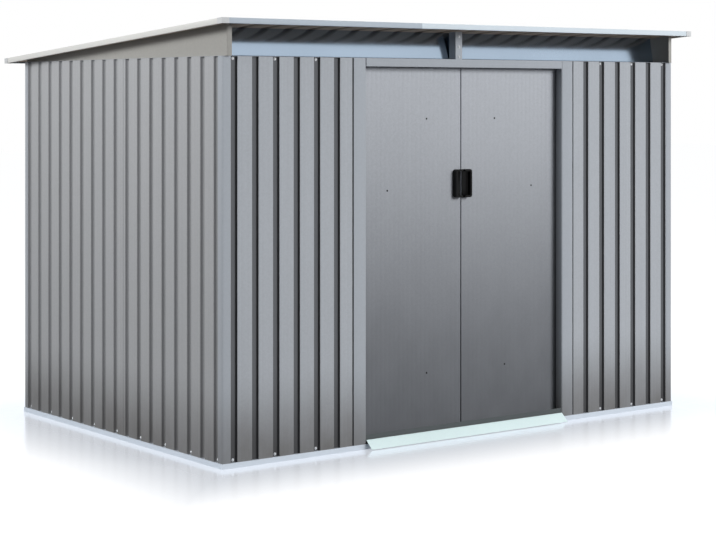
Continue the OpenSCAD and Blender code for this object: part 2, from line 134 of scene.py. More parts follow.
def edit(obj: bpy.types.Object) -> None:
    """Opens an object in edit mode with nothing selected.

    Args:
        obj: The object.
    """
    select_only(obj)
    bpy.ops.object.mode_set(mode="EDIT")
    bpy.ops.mesh.select_mode(type="VERT")
    bpy.ops.mesh.select_all(action="DESELECT")


def close_edit() -> None:
    """Goes back to object mode."""
    bpy.ops.object.mode_set(mode="OBJECT")


def add_block(middle: Vector, size: Vector) -> bpy.types.Object:
    """Adds a block that has its place in its mesh.

    Args:
        middle: Middle of the block.
        size: Its size along X, Y and Z.

    Returns:
        The block.
    """
    bpy.ops.object.select_all(action="DESELECT")
    bpy.ops.mesh.primitive_cube_add(size=1.0, location=middle, scale=size)
    block = bpy.context.active_object
    bpy.ops.object.transform_apply(location=True, rotation=True, scale=True)
    return block


def extrude_along(path: Sequence[Point]) -> None:
    """Draws the selected edge out along a path in plan, in edit mode.

    Args:
        path: Points in plan, the first one at the selected edge.
    """
    for (x0, y0), (x1, y1) in zip(path, path[1:]):
        bpy.ops.mesh.extrude_edges_move(
            TRANSFORM_OT_translate={"value": (x1 - x0, y1 - y0, 0.0)}
        )


def draw_sheet(name: str, path: Sequence[Point], height: float) -> bpy.types.Object:
    """Draws an upright edge out along a path in plan, as sheet is rolled.

    Args:
        name: The object's name.
        path: Points in plan, the first one at the start edge.
        height: Length of the upright edge.

    Returns:
        The open sheet, whose faces point to the right of the path's travel.
    """
    bpy.ops.object.select_all(action="DESELECT")
    x, y = path[0]
    bpy.ops.mesh.primitive_plane_add(
        size=height,
        rotation=(0.0, math.pi / 2, 0.0),
        location=(x, y + height / 2, height / 2),
    )
    obj = bpy.context.active_object
    obj.name = name
    bpy.ops.object.transform_apply(location=True, rotation=True, scale=True)
    edit(obj)
    pick_vertices(obj, lambda place: place.y > y + height / 2)
    bpy.ops.mesh.delete(type="VERT")
    bpy.ops.mesh.select_all(action="SELECT")
    extrude_along(path)
    close_edit()
    step = Vector((path[1][0] - x, path[1][1] - y))
    face = obj.data.polygons[0].normal
    if face.x * step.y - face.y * step.x < 0.0:
        edit(obj)
        bpy.ops.mesh.select_all(action="SELECT")
        bpy.ops.mesh.flip_normals()
        close_edit()
    return obj


def repeat_along_x(obj: bpy.types.Object, count: int, pitch: float) -> None:
    """Repeats a stretch of sheet along X and merges the edges where copies meet.

    Args:
        obj: The first stretch.
        count: Number of stretches.
        pitch: Distance from one to the next.
    """
    apply_modifier(
        obj,
        "ARRAY",
        count=count,
        use_relative_offset=False,
        use_constant_offset=True,
        constant_offset_displace=(pitch, 0.0, 0.0),
        use_merge_vertices=True,
        merge_threshold=MERGE_GAP,
    )


def cut_off(obj: bpy.types.Object, x: float, keep_above: bool) -> None:
    """Cuts a sheet across at a place along X and drops one side.

    Args:
        obj: The sheet.
        x: Where the cut runs.
        keep_above: Whether the side with the larger X stays.
    """
    edit(obj)
    bpy.ops.mesh.select_all(action="SELECT")
    bpy.ops.mesh.bisect(
        plane_co=(x, 0.0, 0.0),
        plane_no=(1.0, 0.0, 0.0),
        clear_inner=keep_above,
        clear_outer=not keep_above,
    )
    close_edit()


def soften(obj: bpy.types.Object, width: float, sharpness: float) -> None:
    """Rounds an object's sharp edges.

    Args:
        obj: The object.
        width: Length of each edge's rounding.
        sharpness: Angle, in degrees, past which an edge is rounded.
    """
    apply_modifier(
        obj,
        "BEVEL",
        width=width,
        segments=3,
        limit_method="ANGLE",
        angle_limit=math.radians(sharpness),
    )


def fold_and_thicken(obj: bpy.types.Object, bend: float, thickness: float) -> None:
    """Rounds a sheet's bends and gives it its thickness behind its faces.

    Args:
        obj: The open sheet.
        bend: Length of each bend's rounding.
        thickness: Thickness of the sheet.
    """
    soften(obj, bend, sharpness=40.0)
    apply_modifier(obj, "SOLIDIFY", thickness=thickness, offset=-1.0, use_even_offset=True)


def mark_recesses(
    obj: bpy.types.Object, shade_of: Callable[[bpy.types.MeshVertex], float]
) -> None:
    """Stores the painted shade of each point of a piece, darkest deep in its recesses.

    Args:
        obj: The sheet.
        shade_of: Gives a vertex's painted shade as a share of the full shade.
    """
    marks = obj.data.attributes.new(PAINTED_SHADE_MARK, "FLOAT", "POINT")
    for mark, vertex in zip(marks.data, obj.data.vertices):
        mark.value = min(max(shade_of(vertex), 0.0), 1.0)


def settle(obj: bpy.types.Object, place: Matrix) -> None:
    """Moves an object to its place, leaves the place in its mesh and smooths its round parts.

    Args:
        obj: The object.
        place: Where it goes.
    """
    smooth_angle = math.radians(35.0)
    select_only(obj)
    obj.matrix_world = place
    bpy.ops.object.transform_apply(location=True, rotation=True, scale=True)
    bpy.ops.object.shade_smooth_by_angle(angle=smooth_angle)


def join(name: str, pieces: Sequence[bpy.types.Object]) -> bpy.types.Object:
    """Joins objects into one.

    Args:
        name: Name of the joined object.
        pieces: The objects, of which the first one stays.

    Returns:
        The joined object.
    """
    select_only(pieces[0])
    for piece in pieces[1:]:
        piece.select_set(True)
    bpy.ops.object.join()
    pieces[0].name = name
    return pieces[0]


def lay_fold(
    name: str, path: Sequence[Point], span: Point, bend: float, thickness: float
) -> bpy.types.Object:
    """Folds a strip that runs along X.

    Args:
        name: The object's name.
        path: Its outer face as depth and height, with the steel to the left of its travel.
        span: Where it starts and ends along X.
        bend: Rounding of its bends.
        thickness: Thickness of the steel.

    Returns:
        The strip.
    """
    strip = draw_sheet(name, path, span[1] - span[0])
    fold_and_thicken(strip, bend, thickness)
    lengthwise = Matrix(((0, 0, 1, 0), (1, 0, 0, 0), (0, 1, 0, 0), (0, 0, 0, 1)))
    settle(strip, Matrix.Translation((span[0], 0.0, 0.0)) @ lengthwise)
    return strip


def install(piece: bpy.types.Object, node: str, body: str = "shell") -> None:
    """Puts a modelled piece on its body in place of a solid.

    Args:
        piece: The piece.
        node: The solid that it stands for.
        body: The body that it rides on.
    """
    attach(piece, body)
    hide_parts(node)
    log.info("%s: %d faces", piece.name, len(piece.data.polygons))


# Finishes


@dataclass(frozen=True)
class Pattern:
    """A noise pattern on a piece's own coordinates.

    Attributes:
        scale: Features per metre.
        stretch: Factors of the coordinates, below 1 where the features are drawn out.
        detail: Finer octaves.
    """

    scale: float
    stretch: Place
    detail: float


BROAD_PATCHES = Pattern(2.3, (1.0, 1.0, 0.6), 3.0)
ROLLING_STREAKS = Pattern(55.0, (1.0, 1.0, 0.012), 2.0)
DARKENING_CLOUDS = Pattern(7.0, (1.0, 1.0, 0.6), 5.0)
SHEET_WAVES = Pattern(3.1, (1.0, 1.0, 0.5), 1.0)
STEEL_GRAIN = Pattern(420.0, (1.0, 1.0, 0.25), 2.0)
MOULD_PATCHES = Pattern(14.0, (1.0, 1.0, 1.0), 3.0)
MOULD_GRAIN = Pattern(900.0, (1.0, 1.0, 1.0), 2.0)
ZINC_CRYSTALS = 150.0
# Colour that the painted shade in grooves, recesses and rib hollows darkens towards
PAINTED_RECESS_SHADE: Colour = (0.02, 0.02, 0.022)


class Graph:
    """A material's nodes, added and linked one at a time."""

    def __init__(self, name: str) -> None:
        """Starts a material that has only its Principled shader.

        Args:
            name: Name of the material.
        """
        self.material = bpy.data.materials.new(name)
        self.material.use_nodes = True
        self.tree = self.material.node_tree
        self.shader = self.tree.nodes["Principled BSDF"]

    def add(self, kind: str, **inputs: object) -> bpy.types.Node:
        """Adds a node and fills its inputs.

        Args:
            kind: Blender's type name of the node.
            inputs: Values or output sockets, by input name with _ for a space.

        Returns:
            The new node.
        """
        node = self.tree.nodes.new(kind)
        for key, value in inputs.items():
            self.feed(node.inputs[key.replace("_", " ")], value)
        return node

    def feed(self, socket: bpy.types.NodeSocket, value: object) -> None:
        """Links an output socket to an input, or sets the input's value.

        Args:
            socket: The input.
            value: The output socket or the value.
        """
        if isinstance(value, bpy.types.NodeSocket):
            self.tree.links.new(value, socket)
        else:
            socket.default_value = value

    def math(self, operation: str, *values: object) -> bpy.types.NodeSocket:
        """Adds a Math node.

        Args:
            operation: Blender's name of the operation.
            values: Values or output sockets, in the order of the inputs.

        Returns:
            The result.
        """
        node = self.tree.nodes.new("ShaderNodeMath")
        node.operation = operation
        for socket, value in zip(node.inputs, values):
            self.feed(socket, value)
        return node.outputs[0]

    def place(self) -> bpy.types.NodeSocket:
        """Gives the place on the piece, in its own coordinates."""
        return self.add("ShaderNodeTexCoord").outputs["Object"]

    def noise(self, pattern: Pattern) -> bpy.types.NodeSocket:
        """Adds a noise pattern.

        Args:
            pattern: The pattern.

        Returns:
            The noise value, about 0.5 on average.
        """
        mapped = self.add("ShaderNodeMapping", Vector=self.place(), Scale=pattern.stretch)
        texture = self.add(
            "ShaderNodeTexNoise",
            Vector=mapped.outputs[0],
            Scale=pattern.scale,
            Detail=pattern.detail,
        )
        return texture.outputs["Fac"]

    def cells(self, scale: float) -> bpy.types.NodeSocket:
        """Adds crystal cells.

        Args:
            scale: Cells per metre.

        Returns:
            A value from 0 to 1 for each cell.
        """
        texture = self.add("ShaderNodeTexVoronoi", Vector=self.place(), Scale=scale)
        parts = self.add("ShaderNodeSeparateColor", Color=texture.outputs["Color"])
        return parts.outputs[0]

    def swing(self, amount: float, around: object, value: object) -> bpy.types.NodeSocket:
        """Adds a value from 0 to 1 to another one, swung evenly about it."""
        lowered = self.math("SUBTRACT", value, 0.5)
        return self.math("MULTIPLY_ADD", lowered, 2.0 * amount, around)

    def toned(self, colour: Colour, value: object) -> bpy.types.NodeSocket:
        """Gives a colour with its brightness multiplied by a value."""
        return self.add("ShaderNodeHueSaturation", Color=(*colour, 1.0), Value=value).outputs[0]

    def mix(self, amount: object, first: object, second: Colour) -> bpy.types.NodeSocket:
        """Mixes two colours.

        Args:
            amount: Share of the second colour.
            first: The first colour, or its output socket.
            second: The second colour.

        Returns:
            The mixed colour.
        """
        node = self.add("ShaderNodeMix")
        node.data_type = "RGBA"
        for index, value in ((0, amount), (6, first), (7, (*second, 1.0))):
            self.feed(node.inputs[index], value)
        return node.outputs[2]

    def looking_down(self) -> bpy.types.NodeSocket:
        """Tells the faces that look down from the others.

        Returns:
            1 on faces that look down and 0 on the others.
        """
        least_lean = -0.1
        normal = self.add("ShaderNodeNewGeometry").outputs["True Normal"]
        level = self.add("ShaderNodeSeparateXYZ", Vector=normal).outputs["Z"]
        return self.math("LESS_THAN", level, least_lean)

    def near_ground(self, height: float) -> bpy.types.NodeSocket:
        """Gives 1 at the ground and 0 from a height up."""
        level = self.add("ShaderNodeSeparateXYZ", Vector=self.place()).outputs["Z"]
        return self.fade(level, height)

    def fade(self, value: object, limit: float) -> bpy.types.NodeSocket:
        """Gives 1 where a value is 0 or less, falling smoothly to 0 at its limit.

        Args:
            value: The value.
            limit: Where the fade ends.

        Returns:
            The faded value.
        """
        ramp = self.add("ShaderNodeMapRange", Value=value)
        ramp.interpolation_type = "SMOOTHSTEP"
        ramp.inputs["From Min"].default_value = 0.0
        ramp.inputs["From Max"].default_value = limit
        ramp.inputs["To Min"].default_value = 1.0
        ramp.inputs["To Max"].default_value = 0.0
        return ramp.outputs[0]

    def bump(self, height: object, depth: float, under: object = None) -> bpy.types.NodeSocket:
        """Adds a bump.

        Args:
            height: The pattern of the bump, from 0 to 1.
            depth: Its depth in metres.
            under: The normal that it lies on, if there is one.

        Returns:
            The normal with the bump.
        """
        node = self.add("ShaderNodeBump", Height=height, Distance=depth)
        if under is not None:
            self.feed(node.inputs["Normal"], under)
        return node.outputs[0]


@dataclass(frozen=True)
class SteelFinish:
    """Zinc-coated or polished steel.

    Attributes:
        name: Name of the material.
        colour: Base colour, linear.
        metallic: How metallic it looks under its dull coat.
        roughness: Roughness of the coat.
        tone: Swing of the broad patches.
        spangle: Swing of the zinc's crystal cells.
        streak: Swing of the upright rolling streaks.
        gloss: Swing of the roughness with the patches.
        wave: Depth of the broad waviness.
        ground_darkening: Strength of the darkening towards the ground, which on the doors is painted
            shade.
        ground_darkening_height: Height that the darkening reaches up to.
        cloud: How patchy the darkening is.
        darkening_colour: Colour that it darkens towards.
        dullness: How much the darkening near the ground, and the dull coat on the back, add to the
            roughness.
        recess: How much the painted shade marked in grooves and recesses darkens them.
        specular: Strength of the coat's own gloss.
        grain: Depth of the fine grain.
        back: Colour of the dull coat on faces that look down, if there is one.
    """

    name: str
    colour: Colour
    metallic: float
    roughness: float
    tone: float = 0.05
    spangle: float = 0.03
    streak: float = 0.04
    gloss: float = 0.06
    wave: float = 0.0006
    ground_darkening: float = 0.0
    ground_darkening_height: float = 0.4
    cloud: float = 0.3
    darkening_colour: Colour = (0.12, 0.11, 0.10)
    dullness: float = 0.3
    recess: float = 0.0
    specular: float = 0.5
    grain: float = 0.00004
    back: Colour | None = None

    def material(self) -> bpy.types.Material:
        """Builds the material.

        Returns:
            The material.
        """
        graph = Graph(self.name)
        shader = graph.shader
        patches = graph.noise(BROAD_PATCHES)
        crystals = graph.cells(ZINC_CRYSTALS)
        value = graph.swing(self.tone, 1.0, patches)
        value = graph.swing(self.streak, value, graph.noise(ROLLING_STREAKS))
        value = graph.swing(self.spangle, value, crystals)
        colour = graph.toned(self.colour, value)
        rough = graph.swing(self.gloss, self.roughness, patches)
        rough = graph.swing(self.spangle, rough, crystals)
        # Darkening towards the ground, in patches; on the doors it is painted shade
        if self.ground_darkening > 0.0:
            clouds = graph.swing(self.cloud, 1.0 - self.cloud, graph.noise(DARKENING_CLOUDS))
            darkening = graph.math("MULTIPLY", graph.near_ground(self.ground_darkening_height), clouds)
            amount = graph.math("MULTIPLY", darkening, self.ground_darkening)
            colour = graph.mix(amount, colour, self.darkening_colour)
            rough = graph.math("MULTIPLY_ADD", amount, self.dullness, rough)
        if self.back is not None:
            below = graph.looking_down()
            colour = graph.mix(below, colour, self.back)
            rough = graph.math("MULTIPLY_ADD", below, self.dullness, rough)
        # Painted shade in grooves, recesses and rib hollows, read from the vertex marks
        if self.recess > 0.0:
            depth = graph.add("ShaderNodeAttribute")
            depth.attribute_name = PAINTED_SHADE_MARK
            amount = graph.math("MULTIPLY", depth.outputs["Fac"], self.recess)
            colour = graph.mix(amount, colour, PAINTED_RECESS_SHADE)
        graph.feed(shader.inputs["Base Color"], colour)
        graph.feed(shader.inputs["Roughness"], rough)
        shader.inputs["Metallic"].default_value = self.metallic
        shader.inputs["Specular IOR Level"].default_value = self.specular
        waves = graph.bump(graph.noise(SHEET_WAVES), self.wave)
        grain = graph.bump(graph.noise(STEEL_GRAIN), self.grain, waves)
        graph.feed(shader.inputs["Normal"], grain)
        return graph.material


@dataclass(frozen=True)
class PlasticFinish:
    """Moulded plastic with a fine grain.

    Attributes:
        name: Name of the material.
        colour: Base colour, linear.
        roughness: Roughness of the skin.
        tone: Swing of the patches.
        gloss: Swing of the roughness with the patches.
        grain: Depth of the moulded grain.
        specular: Strength of the skin's gloss.
    """

    name: str
    colour: Colour
    roughness: float
    tone: float = 0.08
    gloss: float = 0.07
    grain: float = 0.00006
    specular: float = 0.5

    def material(self) -> bpy.types.Material:
        """Builds the material.

        Returns:
            The material.
        """
        graph = Graph(self.name)
        shader = graph.shader
        patches = graph.noise(MOULD_PATCHES)
        colour = graph.toned(self.colour, graph.swing(self.tone, 1.0, patches))
        graph.feed(shader.inputs["Base Color"], colour)
        graph.feed(shader.inputs["Roughness"], graph.swing(self.gloss, self.roughness, patches))
        shader.inputs["Specular IOR Level"].default_value = self.specular
        graph.feed(shader.inputs["Normal"], graph.bump(graph.noise(MOULD_GRAIN), self.grain))
        return graph.material


def smooth_steel(
    name: str, colour: Colour, metallic: float, roughness: float, recess: float = 0.0
) -> SteelFinish:
    """Gives smooth steel with hardly any crystals, streaks or grain.

    Args:
        name: Name of the material.
        colour: Base colour, linear.
        metallic: How metallic it looks.
        roughness: Roughness of the surface.
        recess: How much the painted shade in its recesses darkens them.

    Returns:
        The finish.
    """
    return SteelFinish(
        name, colour, metallic, roughness,
        spangle=0.01, streak=0.01, recess=recess, grain=0.00001,
    )


class Finish(Enum):
    """The finishes of the shed's pieces."""

    RIBBED_SHEET = SteelFinish(
        "ribbed_sheet", (0.42, 0.445, 0.48), 0.10, 0.36,
        ground_darkening=1.0, ground_darkening_height=0.42, recess=0.95, specular=0.4,
    )
    SIDE_SHEET = SteelFinish(
        "side_sheet", (0.42, 0.43, 0.445), 0.05, 0.44,
        ground_darkening=0.9, ground_darkening_height=0.38, recess=0.36, specular=0.3,
    )
    ROOF_SHEET = SteelFinish(
        "roof_sheet", (0.42, 0.44, 0.47), 0.06, 0.48,
        recess=0.60, specular=0.3, back=(0.54, 0.42, 0.325),
    )
    # The doors darken from the head down to the foot: painted shade over the leaves' whole height
    DOOR_SHEET = SteelFinish(
        "door_sheet", (0.475, 0.497, 0.535), 0.05, 0.46, tone=0.03, spangle=0.04, streak=0.02,
        ground_darkening=0.95, ground_darkening_height=1.75, cloud=0.08, darkening_colour=(0.10, 0.105, 0.115), specular=0.2,
    )
    FRAME_STEEL = SteelFinish(
        "frame_steel", (0.39, 0.42, 0.46), 0.12, 0.36, spangle=0.02, streak=0.02,
        ground_darkening=0.9, ground_darkening_height=0.40, recess=0.70, specular=0.45, grain=0.00001,
    )
    BRIGHT_TRIM = smooth_steel("bright_trim", (0.66, 0.74, 0.80), 0.30, 0.34)
    SIDE_TRIM = smooth_steel("side_trim", (0.70, 0.70, 0.675), 0.20, 0.36)
    # A darker copy of the bright trim: painted shade on the front trim's left length
    SHADED_TRIM = smooth_steel("shaded_trim", (0.45, 0.51, 0.575), 0.30, 0.36)
    BASE_STEEL = smooth_steel("base_steel", (0.70, 0.76, 0.83), 0.45, 0.36)
    SILL_STEEL = smooth_steel("sill_steel", (0.82, 0.985, 0.99), 0.10, 0.39, recess=0.94)
    GABLE_STEEL = SteelFinish(
        "gable_steel", (0.36, 0.355, 0.335), 0.05, 0.52, streak=0.02, specular=0.3
    )
    BAND_STEEL = SteelFinish(
        "band_steel", (0.41, 0.51, 0.63), 1.0, 0.19,
        tone=0.12, spangle=0.01, streak=0.01, grain=0.000005,
    )
    SCREW_STEEL = SteelFinish("screw_steel", (0.70, 0.72, 0.74), 0.5, 0.34, grain=0.00001)
    CAP_PLASTIC = PlasticFinish("cap_plastic", (0.64, 0.655, 0.665), 0.45)
    HANDLE_PLASTIC = PlasticFinish("handle_plastic", (0.004, 0.004, 0.0045), 0.38, specular=0.14)
    SLIDER_NYLON = PlasticFinish("slider_nylon", (0.025, 0.025, 0.027), 0.45)


class Palette:
    """Builds each finish's material once and puts it on pieces."""

    def __init__(self) -> None:
        """Builds all the materials."""
        self.materials = {finish: finish.value.material() for finish in Finish}

    def dress(self, obj: bpy.types.Object, finish: Finish) -> None:
        """Puts one finish all over an object."""
        obj.data.materials.clear()
        obj.data.materials.append(self.materials[finish])


# Places


@dataclass(frozen=True)
class WallPlan:
    """Outer faces of the walls, with a frame along each of them, and their grooves.

    Attributes:
        low: Lowest corner of the walls.
        high: Highest corner of the walls.
        foot: Height of the sheets' lower edges.
        top: Height of their upper edges.
        front_pitch: Spacing of the grooves of the front.
        first_groove: Place of the front's first groove, from its corner.
        side_pitch: Spacing of the sides' grooves, before it is fitted to their length.
        back_pitch: Spacing of the back's grooves, before it is fitted to its length.
        corner_clear: Gap from a wall's end to the edge of its sheets.
    """

    low: Vector
    high: Vector
    foot: float
    top: float
    front_pitch: float = 0.106
    first_groove: float = 0.059
    side_pitch: float = 0.104
    back_pitch: float = 0.106
    corner_clear: float = 0.007

    @classmethod
    def from_frame(cls) -> "WallPlan":
        """Reads the outer faces from the corner angles and the heights from a wall.

        Returns:
            The plan.
        """
        low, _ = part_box("front_left_corner")
        _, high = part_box("back_right_corner")
        wall_low, wall_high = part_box("left_wall")
        return cls(low, high, wall_low.z, wall_high.z)

    def length(self, side: Side) -> float:
        """Gives the length of a wall over the corner angles."""
        span = self.high - self.low
        return span.x if side.runs_along_x else span.y

    def grooves(self, side: Side) -> tuple[int, float]:
        """Gives the grooves of a side wall or of the back wall.

        Args:
            side: The wall.

        Returns:
            Their number and their spacing.
        """
        length = self.length(side)
        count = round(length / (self.back_pitch if side is Side.BACK else self.side_pitch))
        return count, length / count

    def along(self, side: Side) -> Matrix:
        """Gives a wall's frame.

        Args:
            side: The wall.

        Returns:
            The frame, with X along the wall's outer face and Y into the shed.
        """
        corners = {
            Side.FRONT: (self.low.x, self.low.y, 0.0),
            Side.RIGHT: (self.high.x, self.low.y, 90.0),
            Side.BACK: (self.high.x, self.high.y, 180.0),
            Side.LEFT: (self.low.x, self.high.y, -90.0),
        }
        x, y, turn = corners[side]
        return Matrix.Translation((x, y, 0.0)) @ Matrix.Rotation(math.radians(turn), 4, "Z")


# Ribbed walls


@dataclass(frozen=True)
class SheetSection:
    """Section of the ribbed wall sheet.

    Attributes:
        face: Depth of the sheet's outer face behind the corner angles' face.
        groove_w: Width of a groove at the face.
        groove_run: Run of a groove's sloping side.
        groove_depth: Depth of a groove.
        bead_gap: Spacing of the fine beads on a flat.
        bead_w: Width of a fine bead.
        bead_depth: Depth of a fine bead.
        bend: Rounding of the grooves' bends.
        thickness: Thickness of the sheet.
        clean_rim: Share of a groove's depth, at its rim and its floor, that the painted shade on its
            side spares.
        side_shade: How fast the painted shade on its side deepens with depth.
        floor_shade: How dark the painted shade on its floor is.
    """

    face: float = 0.001
    groove_w: float = 0.033
    groove_run: float = 0.004
    groove_depth: float = 0.012
    bead_gap: float = 0.020
    bead_w: float = 0.0045
    bead_depth: float = 0.0004
    bend: float = 0.003
    thickness: float = 0.0006
    clean_rim: float = 0.06
    side_shade: float = 10.0
    floor_shade: float = 0.8

    @property
    def floor(self) -> float:
        """Depth of the grooves' floors behind the corner angles' face."""
        return self.face + self.groove_depth

    def bead(self, x: float) -> list[Point]:
        """Gives the points of a fine bead."""
        half = self.bead_w / 2
        return [(x - half, self.face), (x, self.face + self.bead_depth), (x + half, self.face)]

    def groove(self, x: float) -> list[Point]:
        """Gives the points of a groove.

        Args:
            x: Its middle.

        Returns:
            The points, from left to right.
        """
        rim = self.groove_w / 2
        foot = rim - self.groove_run
        return [
            (x - rim, self.face),
            (x - foot, self.floor),
            (x + foot, self.floor),
            (x + rim, self.face),
        ]

    def pitch_path(self, x: float, pitch: float) -> list[Point]:
        """Gives one pitch of the sheet, about a groove, cut between two beads.

        Args:
            x: Middle of the groove.
            pitch: Spacing of the grooves.

        Returns:
            The points, from left to right.
        """
        start = x - pitch / 2 - self.bead_gap / 2
        return [
            (start, self.face),
            *self.bead(x - pitch / 2),
            *self.bead(x - pitch / 2 + self.bead_gap),
            *self.groove(x),
            *self.bead(x + pitch / 2 - self.bead_gap),
            (start + pitch, self.face),
        ]

    def shade(self, vertex: bpy.types.MeshVertex) -> float:
        """Gives the painted shade at a point of the sheet: most on a groove's sides, less on its
        floor.

        Args:
            vertex: The point, in the wall's frame.

        Returns:
            The shade, of which only 0 to 1 counts.
        """
        depth = (vertex.co.y - self.face) / self.groove_depth
        if depth > 1.0 - self.clean_rim:
            return self.floor_shade
        return self.side_shade * (depth - self.clean_rim)


@dataclass(frozen=True)
class RibbedSheet:
    """One sheet of a wall, in the wall's frame.

    Attributes:
        start: Place of its first edge.
        end: Place of its last edge.
        first: Place of a groove at or before its first groove.
        pitch: Spacing of the grooves.
        drop: How far the flat before its first groove lies under its neighbour.
    """

    start: float
    end: float
    first: float
    pitch: float
    drop: float = 0.0

    def build(self, name: str, section: SheetSection, height: float) -> bpy.types.Object:
        """Rolls one pitch, repeats it and cuts the sheet to its width.

        Args:
            name: Name of the sheet.
            section: Section of the sheet.
            height: Height of the sheet.

        Returns:
            The open sheet, in the wall's frame.
        """
        before = self.first - self.pitch
        count = math.ceil((self.end - before) / self.pitch) + 1
        sheet = draw_sheet(name, section.pitch_path(before, self.pitch), height)
        repeat_along_x(sheet, count, self.pitch)
        cut_off(sheet, self.start, keep_above=True)
        cut_off(sheet, self.end, keep_above=False)
        if self.drop > 0.0:
            edge = self.first - section.groove_w / 2 + MERGE_GAP
            edit(sheet)
            pick_vertices(sheet, lambda place: place.x < edge)
            bpy.ops.transform.translate(value=(0.0, self.drop, 0.0))
            close_edit()
        return sheet


@dataclass(frozen=True)
class Walls:
    """The ribbed walls.

    Attributes:
        plan: Plan of the walls.
        palette: The finishes.
        section: Section of the sheets.
        half_lap: How far a sheet reaches past the middle of a lap.
        lap_drop: How far a lapped edge lies under its neighbour.
        swage_w: Width of the swage along a jamb.
        swage_depth: Depth of that swage.
    """

    plan: WallPlan
    palette: Palette
    section: SheetSection = SheetSection()
    half_lap: float = 0.018
    lap_drop: float = 0.0007
    swage_w: float = 0.008
    swage_depth: float = 0.004

    def finish_wall(self, sheets: Sequence[bpy.types.Object], node: str, side: Side) -> None:
        """Thickens the sheets of a wall, sets them in place and dresses them.

        Args:
            sheets: The open sheets, in the wall's frame.
            node: The solid that they stand for.
            side: The wall.
        """
        place = self.plan.along(side) @ Matrix.Translation((0.0, 0.0, self.plan.foot))
        for sheet in sheets:
            fold_and_thicken(sheet, self.section.bend, self.section.thickness)
            # Painted shade on the grooves' sides and floors
            mark_recesses(sheet, self.section.shade)
            settle(sheet, place)
        wall = join(f"{node}_sheets", sheets)
        self.palette.dress(wall, Finish.RIBBED_SHEET if side.runs_along_x else Finish.SIDE_SHEET)
        install(wall, node)

    def build_lapped_wall(self, node: str, side: Side, sheets: int) -> None:
        """Builds a plain wall of several lapped sheets.

        Args:
            node: The solid that it stands for.
            side: The wall.
            sheets: Number of sheets.
        """
        clear = self.plan.corner_clear
        length = self.plan.length(side)
        count, pitch = self.plan.grooves(side)
        seams = [math.floor(k * count / sheets + 0.5) for k in range(sheets + 1)]
        pieces = []
        for k in range(sheets):
            last = k == sheets - 1
            sheet = RibbedSheet(
                start=clear if k == 0 else seams[k] * pitch - self.half_lap,
                end=length - clear if last else seams[k + 1] * pitch + self.half_lap,
                first=(seams[k] + 0.5) * pitch,
                pitch=pitch,
                drop=0.0 if k == 0 else self.lap_drop,
            )
            pieces.append(sheet.build(f"{node}_{k}", self.section, self.plan.top - self.plan.foot))
        self.finish_wall(pieces, node, side)

    def build_front_panel(self, node: str, hand: Hand) -> None:
        """Builds the ribbed panel beside the doorway, with a swage along its jamb.

        Args:
            node: The solid that it stands for.
            hand: Which half of the front it is on.
        """
        near = self.plan.corner_clear
        first = self.plan.first_groove
        pitch = self.plan.front_pitch
        length = self.plan.length(Side.FRONT)
        low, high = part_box(node)
        jamb_low, jamb_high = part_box(f"{hand.value}_jamb")
        panel_w = jamb_low.x - self.plan.low.x if hand is Hand.LEFT else self.plan.high.x - jamb_high.x
        edge = panel_w - self.swage_w
        lap = high.x - low.x - (panel_w - near)
        face = self.section.face
        swage = [
            (edge, face),
            (edge + self.swage_w / 4, face + self.swage_depth),
            (edge + self.swage_w * 3 / 4, face + self.swage_depth),
            (panel_w, face),
            (panel_w + lap, face),
        ]
        if hand is Hand.LEFT:
            sheet = RibbedSheet(near, edge, first, pitch)
        else:
            count = math.floor((edge - first) / pitch)
            sheet = RibbedSheet(length - edge, length - near, length - first - count * pitch, pitch)
            swage = [(length - x, y) for x, y in swage]
        piece = sheet.build(f"{node}_0", self.section, self.plan.top - self.plan.foot)
        start = swage[0][0]
        edit(piece)
        pick_vertices(piece, lambda place: abs(place.x - start) < SAME_PLACE)
        extrude_along(swage)
        close_edit()
        self.finish_wall([piece], node, Side.FRONT)

    def build(self) -> None:
        """Builds all the walls."""
        self.build_front_panel("front_left_panel", Hand.LEFT)
        self.build_front_panel("front_right_panel", Hand.RIGHT)
        self.build_lapped_wall("left_wall", Side.LEFT, sheets=2)
        self.build_lapped_wall("right_wall", Side.RIGHT, sheets=2)
        self.build_lapped_wall("back_wall", Side.BACK, sheets=3)


# Corner angles and doorway


